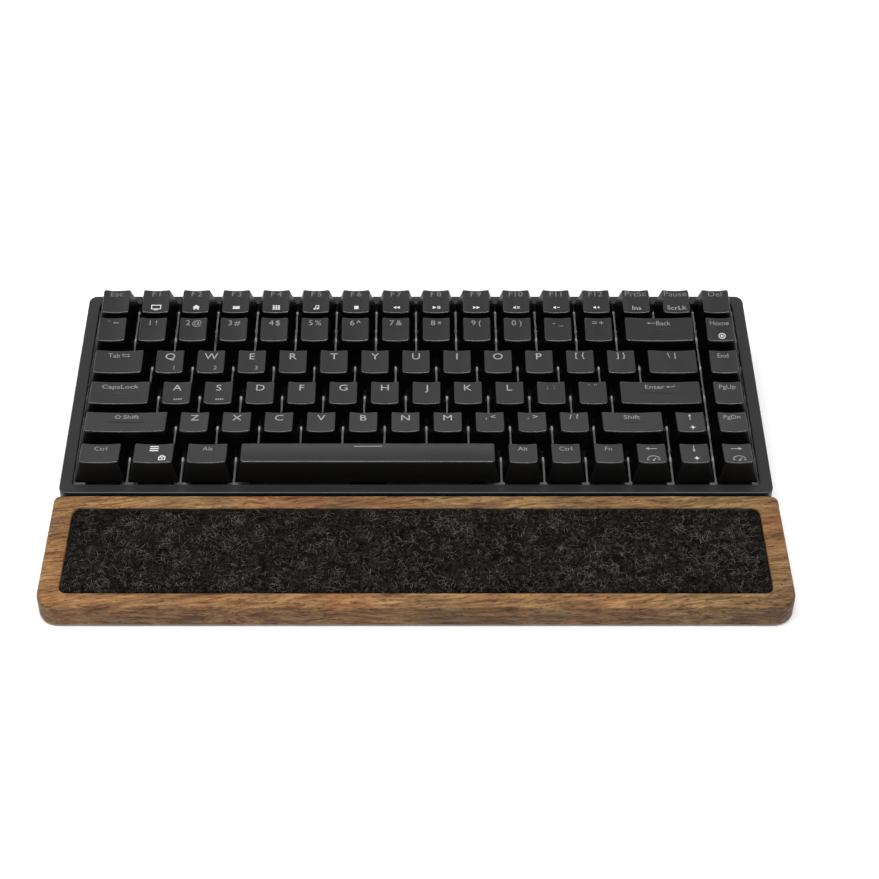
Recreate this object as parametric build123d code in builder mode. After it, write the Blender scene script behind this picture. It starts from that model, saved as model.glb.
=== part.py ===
from build123d import *
import os
from math import asin, copysign, cos, degrees, radians, sin

os.makedirs("parts", exist_ok=True)

# Compact 84-key mechanical keyboard with a separate wooden wrist rest in front of it.
# Millimetres, +Z up, the table at Z = 0, +Y towards the back, origin under the middle of the set.

# ---------------------------------------------------------------- driving dimensions
U = 19.05                 # key pitch, one key unit
COLUMNS = 16
ROWS = 6
CAP_GAP = 0.85            # between the skirts of neighbouring caps
KEY_MARGIN = 0.4          # from the outer key cells to the case opening
BEZEL_FRONT = 5.1
BEZEL_BACK = 5.2
BEZEL_SIDE = 5.7
FRONT_HEIGHT = 15.4       # table to the front edge of the deck
DECK_TILT = 6.5           # degrees
FOOT_HEIGHT = 1.2         # rubber feet under the case
KEY_TRAVEL = 4.0
REST_GAP = 1.0            # between case and wrist rest
REST_WIDTH = 320.0
REST_DEPTH = 65.0
REST_BACK_HEIGHT = 14.5
REST_FRONT_HEIGHT = 11.7
FELT_WIDTH = 301.4
FELT_DEPTH = 49.0
FELT_SHIFT = 0.4          # behind the middle of the rest
FELT_THICKNESS = 1.6

# Heights along the deck's normal, from the bezel's top face.
PLATE_TOP = -6.0
PLATE_THICKNESS = 1.5
BOARD_TOP = PLATE_TOP - 5.0
BOARD_THICKNESS = 1.2
BOARD_BOTTOM = BOARD_TOP - BOARD_THICKNESS
BEZEL_THICKNESS = 1.6
LIP_BOTTOM = PLATE_TOP + 0.1
PARTING = -8.6
TONGUE = 1.4
CAP_BOTTOM = 0.2
SHOULDER = -0.25          # top of a switch slider's block
CROSS_TOP = 3.6

# Caps: front edge height, its distance from the cell's front, back edge height, its distance.
CAP_PROFILES = [
    (10.3, 3.9, 8.9, 16.1),
    (10.3, 3.3, 8.9, 16.2),
    (9.0, 2.5, 8.9, 16.2),
    (9.3, 2.6, 9.9, 16.4),
    (10.9, 2.75, 12.5, 16.3),
    (10.9, 2.5, 12.3, 16.3),
]
CAP_INSET = 2.87          # each side, from skirt to top face
CAP_WALL = 1.3
CAP_ROOF = 1.5
CAP_CORNER = 0.8
STEEP = 0.5               # rise of a unit vector along an upright edge
CAP_DISH = 0.7
SPACE_CROWN = 0.8
SOCKET_RADIUS = 2.75
SOCKET_BOTTOM = 0.45
SOCKET_REACH = 1.2        # end of the socket inside the roof, below the lower edge of the top
CROSS_LENGTH = 4.0
CROSS_ARMS = (1.3, 1.1)
CROSS_FIT = 0.02

# Stabilizers of the wide keys.
STABILIZER_SPREAD = {"key_space": 50.0, "key_enter": 11.938, "key_backspace": 11.938,
                     "key_left_shift": 11.938}
WIRE_RADIUS = 0.7
WIRE_PIVOT_V = 9.5        # behind the key's centre
WIRE_PIVOT_H = PLATE_TOP + 1.0
WIRE_LEG = 7.5
WIRE_LEG_X = 1.55         # leg beside the stabilizer's centre, on the inner side
WIRE_HOOK_X = 1.2
WIRE_SWING = degrees(asin(KEY_TRAVEL / 2 / WIRE_LEG))
WIRE_BEND = 1.3

CASE_WALL = 2.4
CASE_CORNER = 4.0
CASE_FLOOR = 1.5
CASE_SLOPE = 3.0          # height of the slopes under the front and back walls
SLOPE_FRONT = 2.0         # how far they run in
SLOPE_BACK = 1.5
FRONT_RECESS = 0.6        # front wall, behind the deck's edge
DECK_EDGE = (1.2, 2.2)    # below the deck, where the edge ends and where the recess starts
RIM_ROUND = 0.6
LIP_WALL = 1.0            # rib that runs down from the bezel to the plate
LIP_SETBACK = (1.5, 0.2)  # from the opening to the rib, at the sides and at front and back
LIP_CORNER = 2.0
OPENING_CORNER = 0.8
OPENING_CHAMFER = 0.35
OPENING_WIDTH = COLUMNS * U + 2 * KEY_MARGIN
OPENING_LENGTH = ROWS * U + 2 * KEY_MARGIN
CASE_WIDTH = OPENING_WIDTH + 2 * BEZEL_SIDE
DECK_LENGTH = BEZEL_FRONT + OPENING_LENGTH + BEZEL_BACK
TILT = radians(DECK_TILT)
CASE_DEPTH = DECK_LENGTH * cos(TILT)
BACK_HEIGHT = FRONT_HEIGHT + DECK_LENGTH * sin(TILT)
TOTAL_DEPTH = CASE_DEPTH + REST_GAP + REST_DEPTH
CASE_FRONT = REST_GAP + REST_DEPTH - TOTAL_DEPTH / 2
CASE_BACK = CASE_FRONT + CASE_DEPTH
CASE_MIDDLE = (CASE_FRONT + CASE_BACK) / 2
FLOOR_TOP = FOOT_HEIGHT + CASE_FLOOR

# The deck: X along the rows, Y up the slope from the front edge of the key opening.
DECK = Plane(
    origin=(0, CASE_FRONT + BEZEL_FRONT * cos(TILT), FRONT_HEIGHT + BEZEL_FRONT * sin(TILT)),
    x_dir=(1, 0, 0),
    z_dir=(0, -sin(TILT), cos(TILT)),
)

# ---------------------------------------------------------------- key layout
# One list per row from the front, left to right: node that holds the key, width in units.
LETTERS = ("ZXCVBNM", "ASDFGHJKL", "QWERTYUIOP")


def letter_keys(letters):
    return [("key_" + letter.lower(), 1.0) for letter in letters]


LAYOUT = [
    [("modifier_keys", 1.25)] * 3 + [("key_space", 6.25)] + [("modifier_keys", 1.0)] * 3
    + [("arrow_keys", 1.0)] * 3,
    [("key_left_shift", 2.25)] + letter_keys(LETTERS[0]) + [("punctuation_keys", 1.0)] * 3
    + [("modifier_keys", 1.75), ("arrow_keys", 1.0), ("navigation_keys", 1.0)],
    [("modifier_keys", 1.75)] + letter_keys(LETTERS[1]) + [("punctuation_keys", 1.0)] * 2
    + [("key_enter", 2.25), ("navigation_keys", 1.0)],
    [("modifier_keys", 1.5)] + letter_keys(LETTERS[2]) + [("punctuation_keys", 1.0)] * 2
    + [("punctuation_keys", 1.5), ("navigation_keys", 1.0)],
    [("number_keys", 1.0)] * 13 + [("key_backspace", 2.0), ("navigation_keys", 1.0)],
    [("key_escape", 1.0)] + [("function_keys", 1.0)] * 12 + [("navigation_keys", 1.0)] * 3,
]


def key_places():
    """Every key as (node, row, width in units, x, distance up the deck of its centre)."""
    places = []
    for row, keys in enumerate(LAYOUT):
        left = -COLUMNS / 2
        for node, units in keys:
            places.append((node, row, units, (left + units / 2) * U, KEY_MARGIN + (row + 0.5) * U))
            left += units
    return places


KEYS = key_places()
KEY_CENTRES = [(x, v) for _, _, _, x, v in KEYS]


def stabilizer_places():
    """Every stabilizer as (x of its centre, v of its key, inward direction along X)."""
    places = []
    for node, _, _, x, v in KEYS:
        for offset in (-STABILIZER_SPREAD.get(node, 0), STABILIZER_SPREAD.get(node, 0)):
            if offset:
                places.append((x + offset, v, -copysign(1, offset)))
    return places


STABILIZERS = stabilizer_places()
SCREW_PLACES = [(x, KEY_MARGIN + row * U) for row in (1, 5) for x in (-143.0, -95.0, 48.0, 143.0)]


def save(part, name):
    part.label = name
    export_step(part, f"parts/{name}.step")


# ---------------------------------------------------------------- case
def case_form():
    """The closed outer form of the keyboard case, a wedge with rounded corners."""
    with BuildPart() as form:
        with BuildSketch(Plane.YZ.offset(-CASE_WIDTH / 2)):
            with BuildLine():
                Polyline(
                    (CASE_FRONT, FRONT_HEIGHT),
                    (CASE_BACK, BACK_HEIGHT),
                    (CASE_BACK, FOOT_HEIGHT + CASE_SLOPE),
                    (CASE_BACK - SLOPE_BACK, FOOT_HEIGHT),
                    (CASE_FRONT + SLOPE_FRONT, FOOT_HEIGHT),
                    (CASE_FRONT + FRONT_RECESS, FOOT_HEIGHT + CASE_SLOPE),
                    (CASE_FRONT + FRONT_RECESS, FRONT_HEIGHT - DECK_EDGE[1]),
                    (CASE_FRONT, FRONT_HEIGHT - DECK_EDGE[0]),
                    close=True,
                )
            make_face()
        extrude(amount=CASE_WIDTH)
        with BuildSketch(Plane.XY):
            with Locations((0, CASE_MIDDLE)):
                RectangleRounded(CASE_WIDTH, CASE_DEPTH, CASE_CORNER)
        extrude(amount=BACK_HEIGHT, mode=Mode.INTERSECT)
    return form.part


def wall_band(outer_inset, inner_inset, low, high):
    """A band that follows the case wall between two insets and two deck heights."""
    with BuildPart() as band:
        with BuildSketch(Plane.XY.offset(FLOOR_TOP)):
            with Locations((0, CASE_MIDDLE)):
                RectangleRounded(CASE_WIDTH - 2 * outer_inset, CASE_DEPTH - 2 * outer_inset,
                                 CASE_CORNER - outer_inset)
                if inner_inset:
                    RectangleRounded(CASE_WIDTH - 2 * inner_inset, CASE_DEPTH - 2 * inner_inset,
                                     CASE_CORNER - inner_inset, mode=Mode.SUBTRACT)
        extrude(amount=BACK_HEIGHT)
        if low is not None:
            split(bisect_by=DECK.offset(low), keep=Keep.TOP)
        split(bisect_by=DECK.offset(high), keep=Keep.BOTTOM)
    return band.part


TONGUE_INSET = 1.3
TONGUE_FIT = 0.1


def make_top_case():
    with BuildPart() as top_case:
        add(case_form())
        split(bisect_by=DECK.offset(PARTING), keep=Keep.TOP)
        rim = top_case.faces().sort_by(Axis(DECK.origin, DECK.z_dir))[-1]
        fillet(rim.edges(), RIM_ROUND)
        add(wall_band(CASE_WALL, 0, None, -BEZEL_THICKNESS), mode=Mode.SUBTRACT)
        with BuildSketch(DECK.offset(LIP_BOTTOM)):
            with Locations((0, OPENING_LENGTH / 2)):
                RectangleRounded(OPENING_WIDTH + 2 * (LIP_SETBACK[0] + LIP_WALL),
                                 OPENING_LENGTH + 2 * (LIP_SETBACK[1] + LIP_WALL), LIP_CORNER)
        extrude(amount=-LIP_BOTTOM - BEZEL_THICKNESS / 2)
        with BuildSketch(DECK.offset(LIP_BOTTOM)):
            with Locations((0, OPENING_LENGTH / 2)):
                RectangleRounded(OPENING_WIDTH + 2 * LIP_SETBACK[0], OPENING_LENGTH + 2 * LIP_SETBACK[1],
                                 LIP_CORNER - LIP_WALL)
        extrude(amount=-LIP_BOTTOM - BEZEL_THICKNESS, mode=Mode.SUBTRACT)
        with BuildSketch(DECK.offset(LIP_BOTTOM)):
            with Locations((0, OPENING_LENGTH / 2)):
                RectangleRounded(OPENING_WIDTH, OPENING_LENGTH, OPENING_CORNER)
        extrude(amount=1 - LIP_BOTTOM, mode=Mode.SUBTRACT)
        bezel = top_case.faces().sort_by(Axis(DECK.origin, DECK.z_dir))[-1]
        chamfer(bezel.inner_wires()[0].edges(), OPENING_CHAMFER)
        add(wall_band(TONGUE_INSET + TONGUE_FIT, CASE_WALL, PARTING - TONGUE, PARTING))
    save(top_case.part, "top_case")


# Inlet, power switch and folding feet of the bottom case.
PORT_X = -128.0
PORT_SIZE = (8.94, 7.6, 3.26)
PORT_MOUTH = 118.0        # up the deck
PORT_ROUND = 1.2
PORT_SHELL = 0.3
PORT_BACK = 1.2           # closed end of the shell
PORT_TONGUE = (6.7, 0.7)
PORT_CLEARANCE = 0.2
PORT_PLANE = Plane(DECK.from_local_coords((PORT_X, PORT_MOUTH, BOARD_BOTTOM - PORT_SIZE[2] / 2)),
                   x_dir=(1, 0, 0), z_dir=DECK.y_dir)
OPENING_REACH = 4.0       # cuts through the back wall
SWITCH_X = -104.0
SWITCH_TRAVEL = 3.0
SWITCH_NUB = (3.0, 2.4)
SWITCH_FLANGE = (10.0, 4.6, 1.2)
SWITCH_CLEARANCE = 0.3
SWITCH_SUNK = 0.3         # face of the knob, inside the back wall's face
SWITCH_GROOVE = (0.35, 0.3)
GROOVE_PITCH = 0.9
SWITCH_HEIGHT = 14.0
FOOT_X = 118.0
FOOT_SIZE = (30.0, 13.0, 3.2)
FOOT_PIN_RADIUS = 1.0
FOOT_PIN_LENGTH = 1.6
FOOT_AXIS_Y = CASE_BACK - 12.0
FOOT_AXIS_Z = FOOT_HEIGHT + 2.0
FOOT_PIN_FIT = 0.1
FOOT_TIP = 1.6            # slope at the free end
FOOT_HOLLOW = (22.0, 6.0, 1.4)
POCKET_SIDE = 0.4
POCKET_ROOF = FOOT_HEIGHT + 4.6
POCKET_FRONT = FOOT_AXIS_Y - FOOT_SIZE[1] - 1.2
POCKET_BACK = FOOT_AXIS_Y + 2.8
POCKET_WALL = 2.0
POCKET_CEILING = 1.4
POST_RADIUS = 2.6
NECK_RADIUS = 1.6
SCREW_RADIUS = 0.85
SCREW_LENGTH = 8.5
SCREW_HEAD = (1.6, 1.0)
SCREW_SLOT = (1.7, 0.4, 0.5)
SCREW_HOLE_DEPTH = 9.0
PAD_SIZE = (34.0, 8.0)
PAD_INSET = 12.0
PAD_ROUND = 0.3
FRONT_PAD_X = 120.0
BACK_PAD_X = 70.0


def make_bottom_case():
    pocket_width = FOOT_SIZE[0] + 2 * POCKET_SIDE
    pocket_depth = POCKET_BACK - POCKET_FRONT
    pocket_middle = (POCKET_FRONT + POCKET_BACK) / 2
    with BuildPart() as bottom_case:
        add(case_form())
        split(bisect_by=DECK.offset(PARTING), keep=Keep.BOTTOM)
        add(wall_band(CASE_WALL, 0, None, PARTING + 1), mode=Mode.SUBTRACT)
        add(wall_band(TONGUE_INSET, CASE_WALL, PARTING - TONGUE - TONGUE_FIT, PARTING + 1),
            mode=Mode.SUBTRACT)
        # Posts with a shoulder under the board and a neck up to the plate.
        with BuildSketch(DECK.offset(BOARD_BOTTOM)):
            with Locations(*SCREW_PLACES):
                Circle(POST_RADIUS)
        extrude(until=Until.NEXT, dir=(0, 0, -1))
        with BuildSketch(DECK.offset(BOARD_BOTTOM)):
            with Locations(*SCREW_PLACES):
                Circle(NECK_RADIUS)
        extrude(amount=PLATE_TOP - PLATE_THICKNESS - BOARD_BOTTOM)
        with BuildSketch(DECK.offset(PLATE_TOP - SCREW_HOLE_DEPTH)):
            with Locations(*SCREW_PLACES):
                Circle(SCREW_RADIUS)
        extrude(amount=SCREW_HOLE_DEPTH, mode=Mode.SUBTRACT)
        # Pockets of the folding feet, with the holes for their pins.
        with BuildSketch(Plane.XY.offset(FOOT_HEIGHT)):
            with Locations((-FOOT_X, pocket_middle), (FOOT_X, pocket_middle)):
                Rectangle(pocket_width + 2 * POCKET_WALL, pocket_depth + 2 * POCKET_WALL)
        extrude(amount=POCKET_ROOF + POCKET_CEILING - FOOT_HEIGHT)
        with BuildSketch(Plane.XY.offset(FOOT_HEIGHT)):
            with Locations((-FOOT_X, pocket_middle), (FOOT_X, pocket_middle)):
                Rectangle(pocket_width, pocket_depth)
        extrude(amount=POCKET_ROOF - FOOT_HEIGHT, mode=Mode.SUBTRACT)
        for side in (-1, 1):
            with BuildSketch(Plane.YZ.offset(side * FOOT_X - pocket_width / 2 - FOOT_PIN_LENGTH)):
                with Locations((FOOT_AXIS_Y, FOOT_AXIS_Z)):
                    Circle(FOOT_PIN_RADIUS + FOOT_PIN_FIT)
            extrude(amount=pocket_width + 2 * FOOT_PIN_LENGTH, mode=Mode.SUBTRACT)
        # Openings in the back wall for the inlet and the power switch.
        with BuildSketch(PORT_PLANE):
            RectangleRounded(PORT_SIZE[0] + 2 * PORT_CLEARANCE, PORT_SIZE[2] + 2 * PORT_CLEARANCE,
                             PORT_ROUND + PORT_CLEARANCE)
        extrude(amount=OPENING_REACH, both=True, mode=Mode.SUBTRACT)
        with BuildSketch(Plane.XZ.offset(-CASE_BACK)):
            with Locations((SWITCH_X + SWITCH_TRAVEL / 2, SWITCH_HEIGHT)):
                Rectangle(SWITCH_NUB[0] + SWITCH_TRAVEL + 2 * SWITCH_CLEARANCE,
                          SWITCH_NUB[1] + 2 * SWITCH_CLEARANCE)
        extrude(amount=OPENING_REACH, mode=Mode.SUBTRACT)
    save(bottom_case.part, "bottom_case")


def make_rubber_feet():
    with BuildPart() as rubber_feet:
        with BuildSketch(Plane.XY):
            with Locations((-FRONT_PAD_X, CASE_FRONT + PAD_INSET), (FRONT_PAD_X, CASE_FRONT + PAD_INSET),
                           (-BACK_PAD_X, CASE_BACK - PAD_INSET), (BACK_PAD_X, CASE_BACK - PAD_INSET)):
                SlotOverall(*PAD_SIZE)
        extrude(amount=FOOT_HEIGHT)
        fillet(rubber_feet.faces().filter_by(Plane.XY).group_by(Axis.Z)[0].edges(), PAD_ROUND)
    save(rubber_feet.part, "rubber_feet")


def make_tilt_foot(side, name):
    """A folding foot with its pins; folded it lies forward of its hinge axis."""
    with BuildPart() as foot:
        with BuildSketch(Plane.YZ.offset(side * FOOT_X - FOOT_SIZE[0] / 2)):
            with BuildLine():
                Polyline(
                    (FOOT_AXIS_Y, FOOT_AXIS_Z + FOOT_SIZE[2] / 2),
                    (FOOT_AXIS_Y - FOOT_SIZE[1], FOOT_AXIS_Z + FOOT_SIZE[2] / 2),
                    (FOOT_AXIS_Y - FOOT_SIZE[1], FOOT_AXIS_Z),
                    (FOOT_AXIS_Y - FOOT_SIZE[1] + FOOT_TIP, FOOT_AXIS_Z - FOOT_SIZE[2] / 2),
                    (FOOT_AXIS_Y, FOOT_AXIS_Z - FOOT_SIZE[2] / 2),
                    close=True,
                )
            make_face()
            with Locations((FOOT_AXIS_Y, FOOT_AXIS_Z)):
                Circle(FOOT_SIZE[2] / 2)
        extrude(amount=FOOT_SIZE[0])
        with BuildSketch(Plane.XY.offset(FOOT_AXIS_Z - FOOT_SIZE[2] / 2)):
            with Locations((side * FOOT_X, FOOT_AXIS_Y - FOOT_SIZE[1] / 2 - 1)):
                Rectangle(FOOT_HOLLOW[0], FOOT_HOLLOW[1])
        extrude(amount=FOOT_HOLLOW[2], mode=Mode.SUBTRACT)
        pin_reach = FOOT_SIZE[0] / 2 + FOOT_PIN_LENGTH + FOOT_PIN_FIT
        with BuildSketch(Plane.YZ.offset(side * FOOT_X - pin_reach)):
            with Locations((FOOT_AXIS_Y, FOOT_AXIS_Z)):
                Circle(FOOT_PIN_RADIUS)
        extrude(amount=2 * pin_reach)
    save(foot.part, name)


# ---------------------------------------------------------------- plate, board and what is on it
PLATE_MARGIN = (2.6, 1.4)  # past the key opening, at the sides and at front and back
PLATE_CORNER = 1.5
SWITCH_CUTOUT = 14.0
STAB_CUTOUT = (6.1, 12.9)
STAB_CUTOUT_V = 2.25      # its middle, behind the key's centre
PLATE_SCREW_HOLE = 1.05
BOARD_INSET = 1.0
BOARD_STEM_HOLE = 2.05
BOARD_POST_HOLE = 1.8


def make_switch_plate():
    with BuildPart() as switch_plate:
        with BuildSketch(DECK.offset(PLATE_TOP)):
            with Locations((0, OPENING_LENGTH / 2)):
                RectangleRounded(OPENING_WIDTH + 2 * PLATE_MARGIN[0],
                                 OPENING_LENGTH + 2 * PLATE_MARGIN[1], PLATE_CORNER)
            with Locations(*KEY_CENTRES):
                Rectangle(SWITCH_CUTOUT, SWITCH_CUTOUT, mode=Mode.SUBTRACT)
            with Locations(*[(x, v + STAB_CUTOUT_V) for x, v, _ in STABILIZERS]):
                Rectangle(*STAB_CUTOUT, mode=Mode.SUBTRACT)
            with Locations(*SCREW_PLACES):
                Circle(PLATE_SCREW_HOLE, mode=Mode.SUBTRACT)
        extrude(amount=-PLATE_THICKNESS)
    save(switch_plate.part, "switch_plate")


def make_circuit_board():
    with BuildPart() as circuit_board:
        with BuildSketch(DECK.offset(BOARD_TOP)):
            with Locations((0, OPENING_LENGTH / 2)):
                RectangleRounded(OPENING_WIDTH - 2 * BOARD_INSET, OPENING_LENGTH - 2 * BOARD_INSET,
                                 PLATE_CORNER)
            with Locations(*KEY_CENTRES):
                Circle(BOARD_STEM_HOLE, mode=Mode.SUBTRACT)
            with Locations(*SCREW_PLACES):
                Circle(BOARD_POST_HOLE, mode=Mode.SUBTRACT)
        extrude(amount=-BOARD_THICKNESS)
    save(circuit_board.part, "circuit_board")


LED_OFFSET = 4.9
LED_SIZE = (3.4, 2.8, 1.0)
CHIP_V = KEY_MARGIN + 5 * U
CONTROLLER_X = -42.0
CONTROLLER_SIZE = (9.0, 9.0, 1.2)
RADIO_X = -70.0
RADIO_SIZE = (18.0, 12.0, 2.2)
BATTERY_SIZE = (66.0, 44.0, 5.5)
BATTERY_BACK = 40.0       # its middle, from the back of the case
BATTERY_ROUNDS = (3.0, 1.2)


def make_backlight_leds():
    with BuildPart() as backlight_leds:
        with BuildSketch(DECK.offset(BOARD_TOP)):
            with Locations(*[(x, v + LED_OFFSET) for x, v in KEY_CENTRES]):
                Rectangle(LED_SIZE[0], LED_SIZE[1])
        extrude(amount=LED_SIZE[2])
    save(backlight_leds.part, "backlight_leds")


def make_controller_chip():
    """The controller and the radio module, under the back of the board."""
    with BuildPart() as controller_chip:
        with BuildSketch(DECK.offset(BOARD_BOTTOM)):
            with Locations((CONTROLLER_X, CHIP_V)):
                Rectangle(CONTROLLER_SIZE[0], CONTROLLER_SIZE[1])
        extrude(amount=-CONTROLLER_SIZE[2])
        with BuildSketch(DECK.offset(BOARD_BOTTOM)):
            with Locations((RADIO_X, CHIP_V)):
                Rectangle(RADIO_SIZE[0], RADIO_SIZE[1])
        extrude(amount=-RADIO_SIZE[2])
    save(controller_chip.part, "controller_chip")


def make_battery():
    with BuildPart() as battery:
        with BuildSketch(Plane.XY.offset(FLOOR_TOP)):
            with Locations((0, CASE_BACK - BATTERY_BACK)):
                RectangleRounded(BATTERY_SIZE[0], BATTERY_SIZE[1], BATTERY_ROUNDS[0])
        extrude(amount=BATTERY_SIZE[2])
        fillet(battery.edges().filter_by(Plane.XY).group_by(Axis.Z)[-1], BATTERY_ROUNDS[1])
    save(battery.part, "battery")


def make_usb_c_port():
    """A drawn shell, closed at the back, with the contact tongue in it."""
    with BuildPart() as usb_c_port:
        with BuildSketch(PORT_PLANE):
            RectangleRounded(PORT_SIZE[0], PORT_SIZE[2], PORT_ROUND)
        extrude(amount=-PORT_SIZE[1])
        with BuildSketch(PORT_PLANE):
            RectangleRounded(PORT_SIZE[0] - 2 * PORT_SHELL, PORT_SIZE[2] - 2 * PORT_SHELL,
                             PORT_ROUND - PORT_SHELL)
        extrude(amount=PORT_BACK - PORT_SIZE[1], mode=Mode.SUBTRACT)
        with BuildSketch(PORT_PLANE.offset(PORT_BACK / 2 - PORT_SIZE[1])):
            Rectangle(*PORT_TONGUE)
        extrude(amount=PORT_SIZE[1] - 1.5 * PORT_BACK)
    save(usb_c_port.part, "usb_c_port")


def make_power_switch():
    """The knob in the back wall, with a flange behind the wall that slides with it."""
    with BuildPart() as power_switch:
        with BuildSketch(Plane.XZ.offset(SWITCH_SUNK - CASE_BACK)):
            with Locations((SWITCH_X, SWITCH_HEIGHT)):
                Rectangle(*SWITCH_NUB)
        extrude(amount=CASE_WALL)
        with BuildSketch(Plane.XZ.offset(CASE_WALL + SWITCH_SUNK - CASE_BACK)):
            with Locations((SWITCH_X, SWITCH_HEIGHT)):
                Rectangle(SWITCH_FLANGE[0], SWITCH_FLANGE[1])
        extrude(amount=SWITCH_FLANGE[2])
        with BuildSketch(Plane.XZ.offset(SWITCH_SUNK - CASE_BACK)):
            with Locations((SWITCH_X, SWITCH_HEIGHT)):
                with GridLocations(GROOVE_PITCH, 1, 3, 1):
                    Rectangle(SWITCH_GROOVE[0], SWITCH_NUB[1])
        extrude(amount=SWITCH_GROOVE[1], mode=Mode.SUBTRACT)
    save(power_switch.part, "power_switch")


def make_plate_screws():
    """Small machine screws through the plate into the posts of the bottom case."""
    with BuildPart() as plate_screws:
        with BuildSketch(DECK.offset(PLATE_TOP)):
            with Locations(*SCREW_PLACES):
                Circle(SCREW_HEAD[0])
        extrude(amount=SCREW_HEAD[1])
        with BuildSketch(DECK.offset(PLATE_TOP)):
            with Locations(*SCREW_PLACES):
                Circle(SCREW_RADIUS)
        extrude(amount=-SCREW_LENGTH)
        with BuildSketch(DECK.offset(PLATE_TOP + SCREW_HEAD[1])):
            with Locations(*SCREW_PLACES):
                Rectangle(SCREW_SLOT[0], SCREW_SLOT[1])
                Rectangle(SCREW_SLOT[1], SCREW_SLOT[0])
        extrude(amount=-SCREW_SLOT[2], mode=Mode.SUBTRACT)
    save(plate_screws.part, "plate_screws")


# ---------------------------------------------------------------- switches
HOUSING_TOP = 0.3
HOUSING_LOWER = 13.9
HOUSING_RIM = (15.6, 0.9)
HOUSING_UPPER = 14.6
HOUSING_TAPER = 16.0      # degrees
HOUSING_PIN = 1.95
PIN_BELOW_BOARD = 0.7
HOUSING_LID = 0.1         # from the slider's shoulder to the lid's underside
SOCKET_ROOM = 0.3
LED_ROOM = (0.3, 0.4)
CAVITY_FLOOR = -9.6
CAVITY_SIZE = (7.4, 6.6)
SPRING_POST = (1.3, 2.7)
SPRING_TOP = -1.75
SPRING_RADIUS = 2.0
SPRING_THICKNESS = 0.4
SLIDER_ROOM = 0.3
SLIDER_BLOCK = 4.0
SPRING_SEAT = (2.3, 2.5)


def cross(plane, length, arms):
    """The cross that joins a slider to a cap."""
    with BuildSketch(plane) as shape:
        Rectangle(length, arms[0])
        Rectangle(arms[1], length)
    return shape.sketch


def switch_housing():
    with BuildPart() as housing:
        with BuildSketch(Plane.XY.offset(BOARD_TOP)):
            Rectangle(HOUSING_LOWER, HOUSING_LOWER)
        extrude(amount=PLATE_TOP - BOARD_TOP)
        with BuildSketch(Plane.XY.offset(PLATE_TOP)):
            Rectangle(HOUSING_RIM[0], HOUSING_RIM[0])
        extrude(amount=HOUSING_RIM[1])
        with BuildSketch(Plane.XY.offset(PLATE_TOP + HOUSING_RIM[1])):
            Rectangle(HOUSING_UPPER, HOUSING_UPPER)
        extrude(amount=HOUSING_TOP - PLATE_TOP - HOUSING_RIM[1], taper=HOUSING_TAPER)
        with BuildSketch(Plane.XY.offset(CAVITY_FLOOR)):
            Rectangle(*CAVITY_SIZE)
        extrude(amount=SHOULDER + HOUSING_LID - CAVITY_FLOOR, mode=Mode.SUBTRACT)
        with BuildSketch(Plane.XY.offset(CAVITY_FLOOR)):
            Circle(SPRING_POST[0])
        extrude(amount=SPRING_POST[1])
        with BuildSketch(Plane.XY.offset(SHOULDER)):
            Circle(SOCKET_RADIUS + SOCKET_ROOM)
        extrude(amount=HOUSING_TOP - SHOULDER, mode=Mode.SUBTRACT)
        with BuildSketch(Plane.XY.offset(BOARD_TOP)):
            Circle(HOUSING_PIN)
        extrude(amount=-BOARD_THICKNESS - PIN_BELOW_BOARD)
        with BuildSketch(Plane.XY.offset(BOARD_TOP)):
            with Locations((0, LED_OFFSET)):
                Rectangle(LED_SIZE[0] + 2 * LED_ROOM[0], LED_SIZE[1] + 2 * LED_ROOM[0])
        extrude(amount=LED_SIZE[2] + LED_ROOM[1], mode=Mode.SUBTRACT)
    return housing.part


def make_switch_housings():
    with BuildPart(DECK) as switch_housings:
        with Locations(*KEY_CENTRES):
            add(switch_housing())
    save(switch_housings.part, "switch_housings")


def make_switch_springs():
    """The room of each coil spring, as a tube, because the coils would be too fine."""
    with BuildPart() as switch_springs:
        with BuildSketch(DECK.offset(CAVITY_FLOOR)):
            with Locations(*KEY_CENTRES):
                Circle(SPRING_RADIUS)
                Circle(SPRING_RADIUS - SPRING_THICKNESS, mode=Mode.SUBTRACT)
        extrude(amount=SPRING_TOP - CAVITY_FLOOR)
    save(switch_springs.part, "switch_springs")


def switch_slider():
    with BuildPart() as slider:
        with BuildSketch(Plane.XY.offset(SHOULDER)):
            Rectangle(CAVITY_SIZE[0] - 2 * SLIDER_ROOM, CAVITY_SIZE[1] - 2 * SLIDER_ROOM)
        extrude(amount=-SLIDER_BLOCK)
        with BuildSketch(Plane.XY.offset(SHOULDER - SLIDER_BLOCK)):
            Circle(SPRING_SEAT[0])
        extrude(amount=SPRING_SEAT[1], mode=Mode.SUBTRACT)
        add(cross(Plane.XY.offset(SHOULDER), CROSS_LENGTH, CROSS_ARMS))
        extrude(amount=CROSS_TOP - SHOULDER)
    return slider.part


# ---------------------------------------------------------------- stabilizers
STAB_SLIDER_X = (-2.3, 0.45)
STAB_SLIDER_V = (-3.3, 3.9)
STAB_HOLE_V = WIRE_PIVOT_V - WIRE_LEG * (1 + cos(radians(WIRE_SWING))) / 2
STAB_HOLE_H = WIRE_PIVOT_H + KEY_TRAVEL / 2
STAB_HOLE_FIT = 0.4
STAB_SLIDER_DEPTH = 0.4   # below the plate's top
STAB_DEPTH = 3.3          # of the guide tube under the plate's top
STAB_COLLAR = 1.4         # height above it
STAB_TUBE = ((-2.95, 2.95), (-4.1, 4.9))
STAB_FLANGE = ((-3.3, 3.3), (-4.4, 5.2))
STAB_ROOM = ((-2.6, 2.6), (-3.6, 4.5))
STAB_SLOT = (1.0, (4.4, 5.4))
STAB_ARM = ((2.7, 3.3), (5.0, 8.3))
STAB_BRIDGE = ((2.7, 4.9), (8.0, 8.6))
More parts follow.
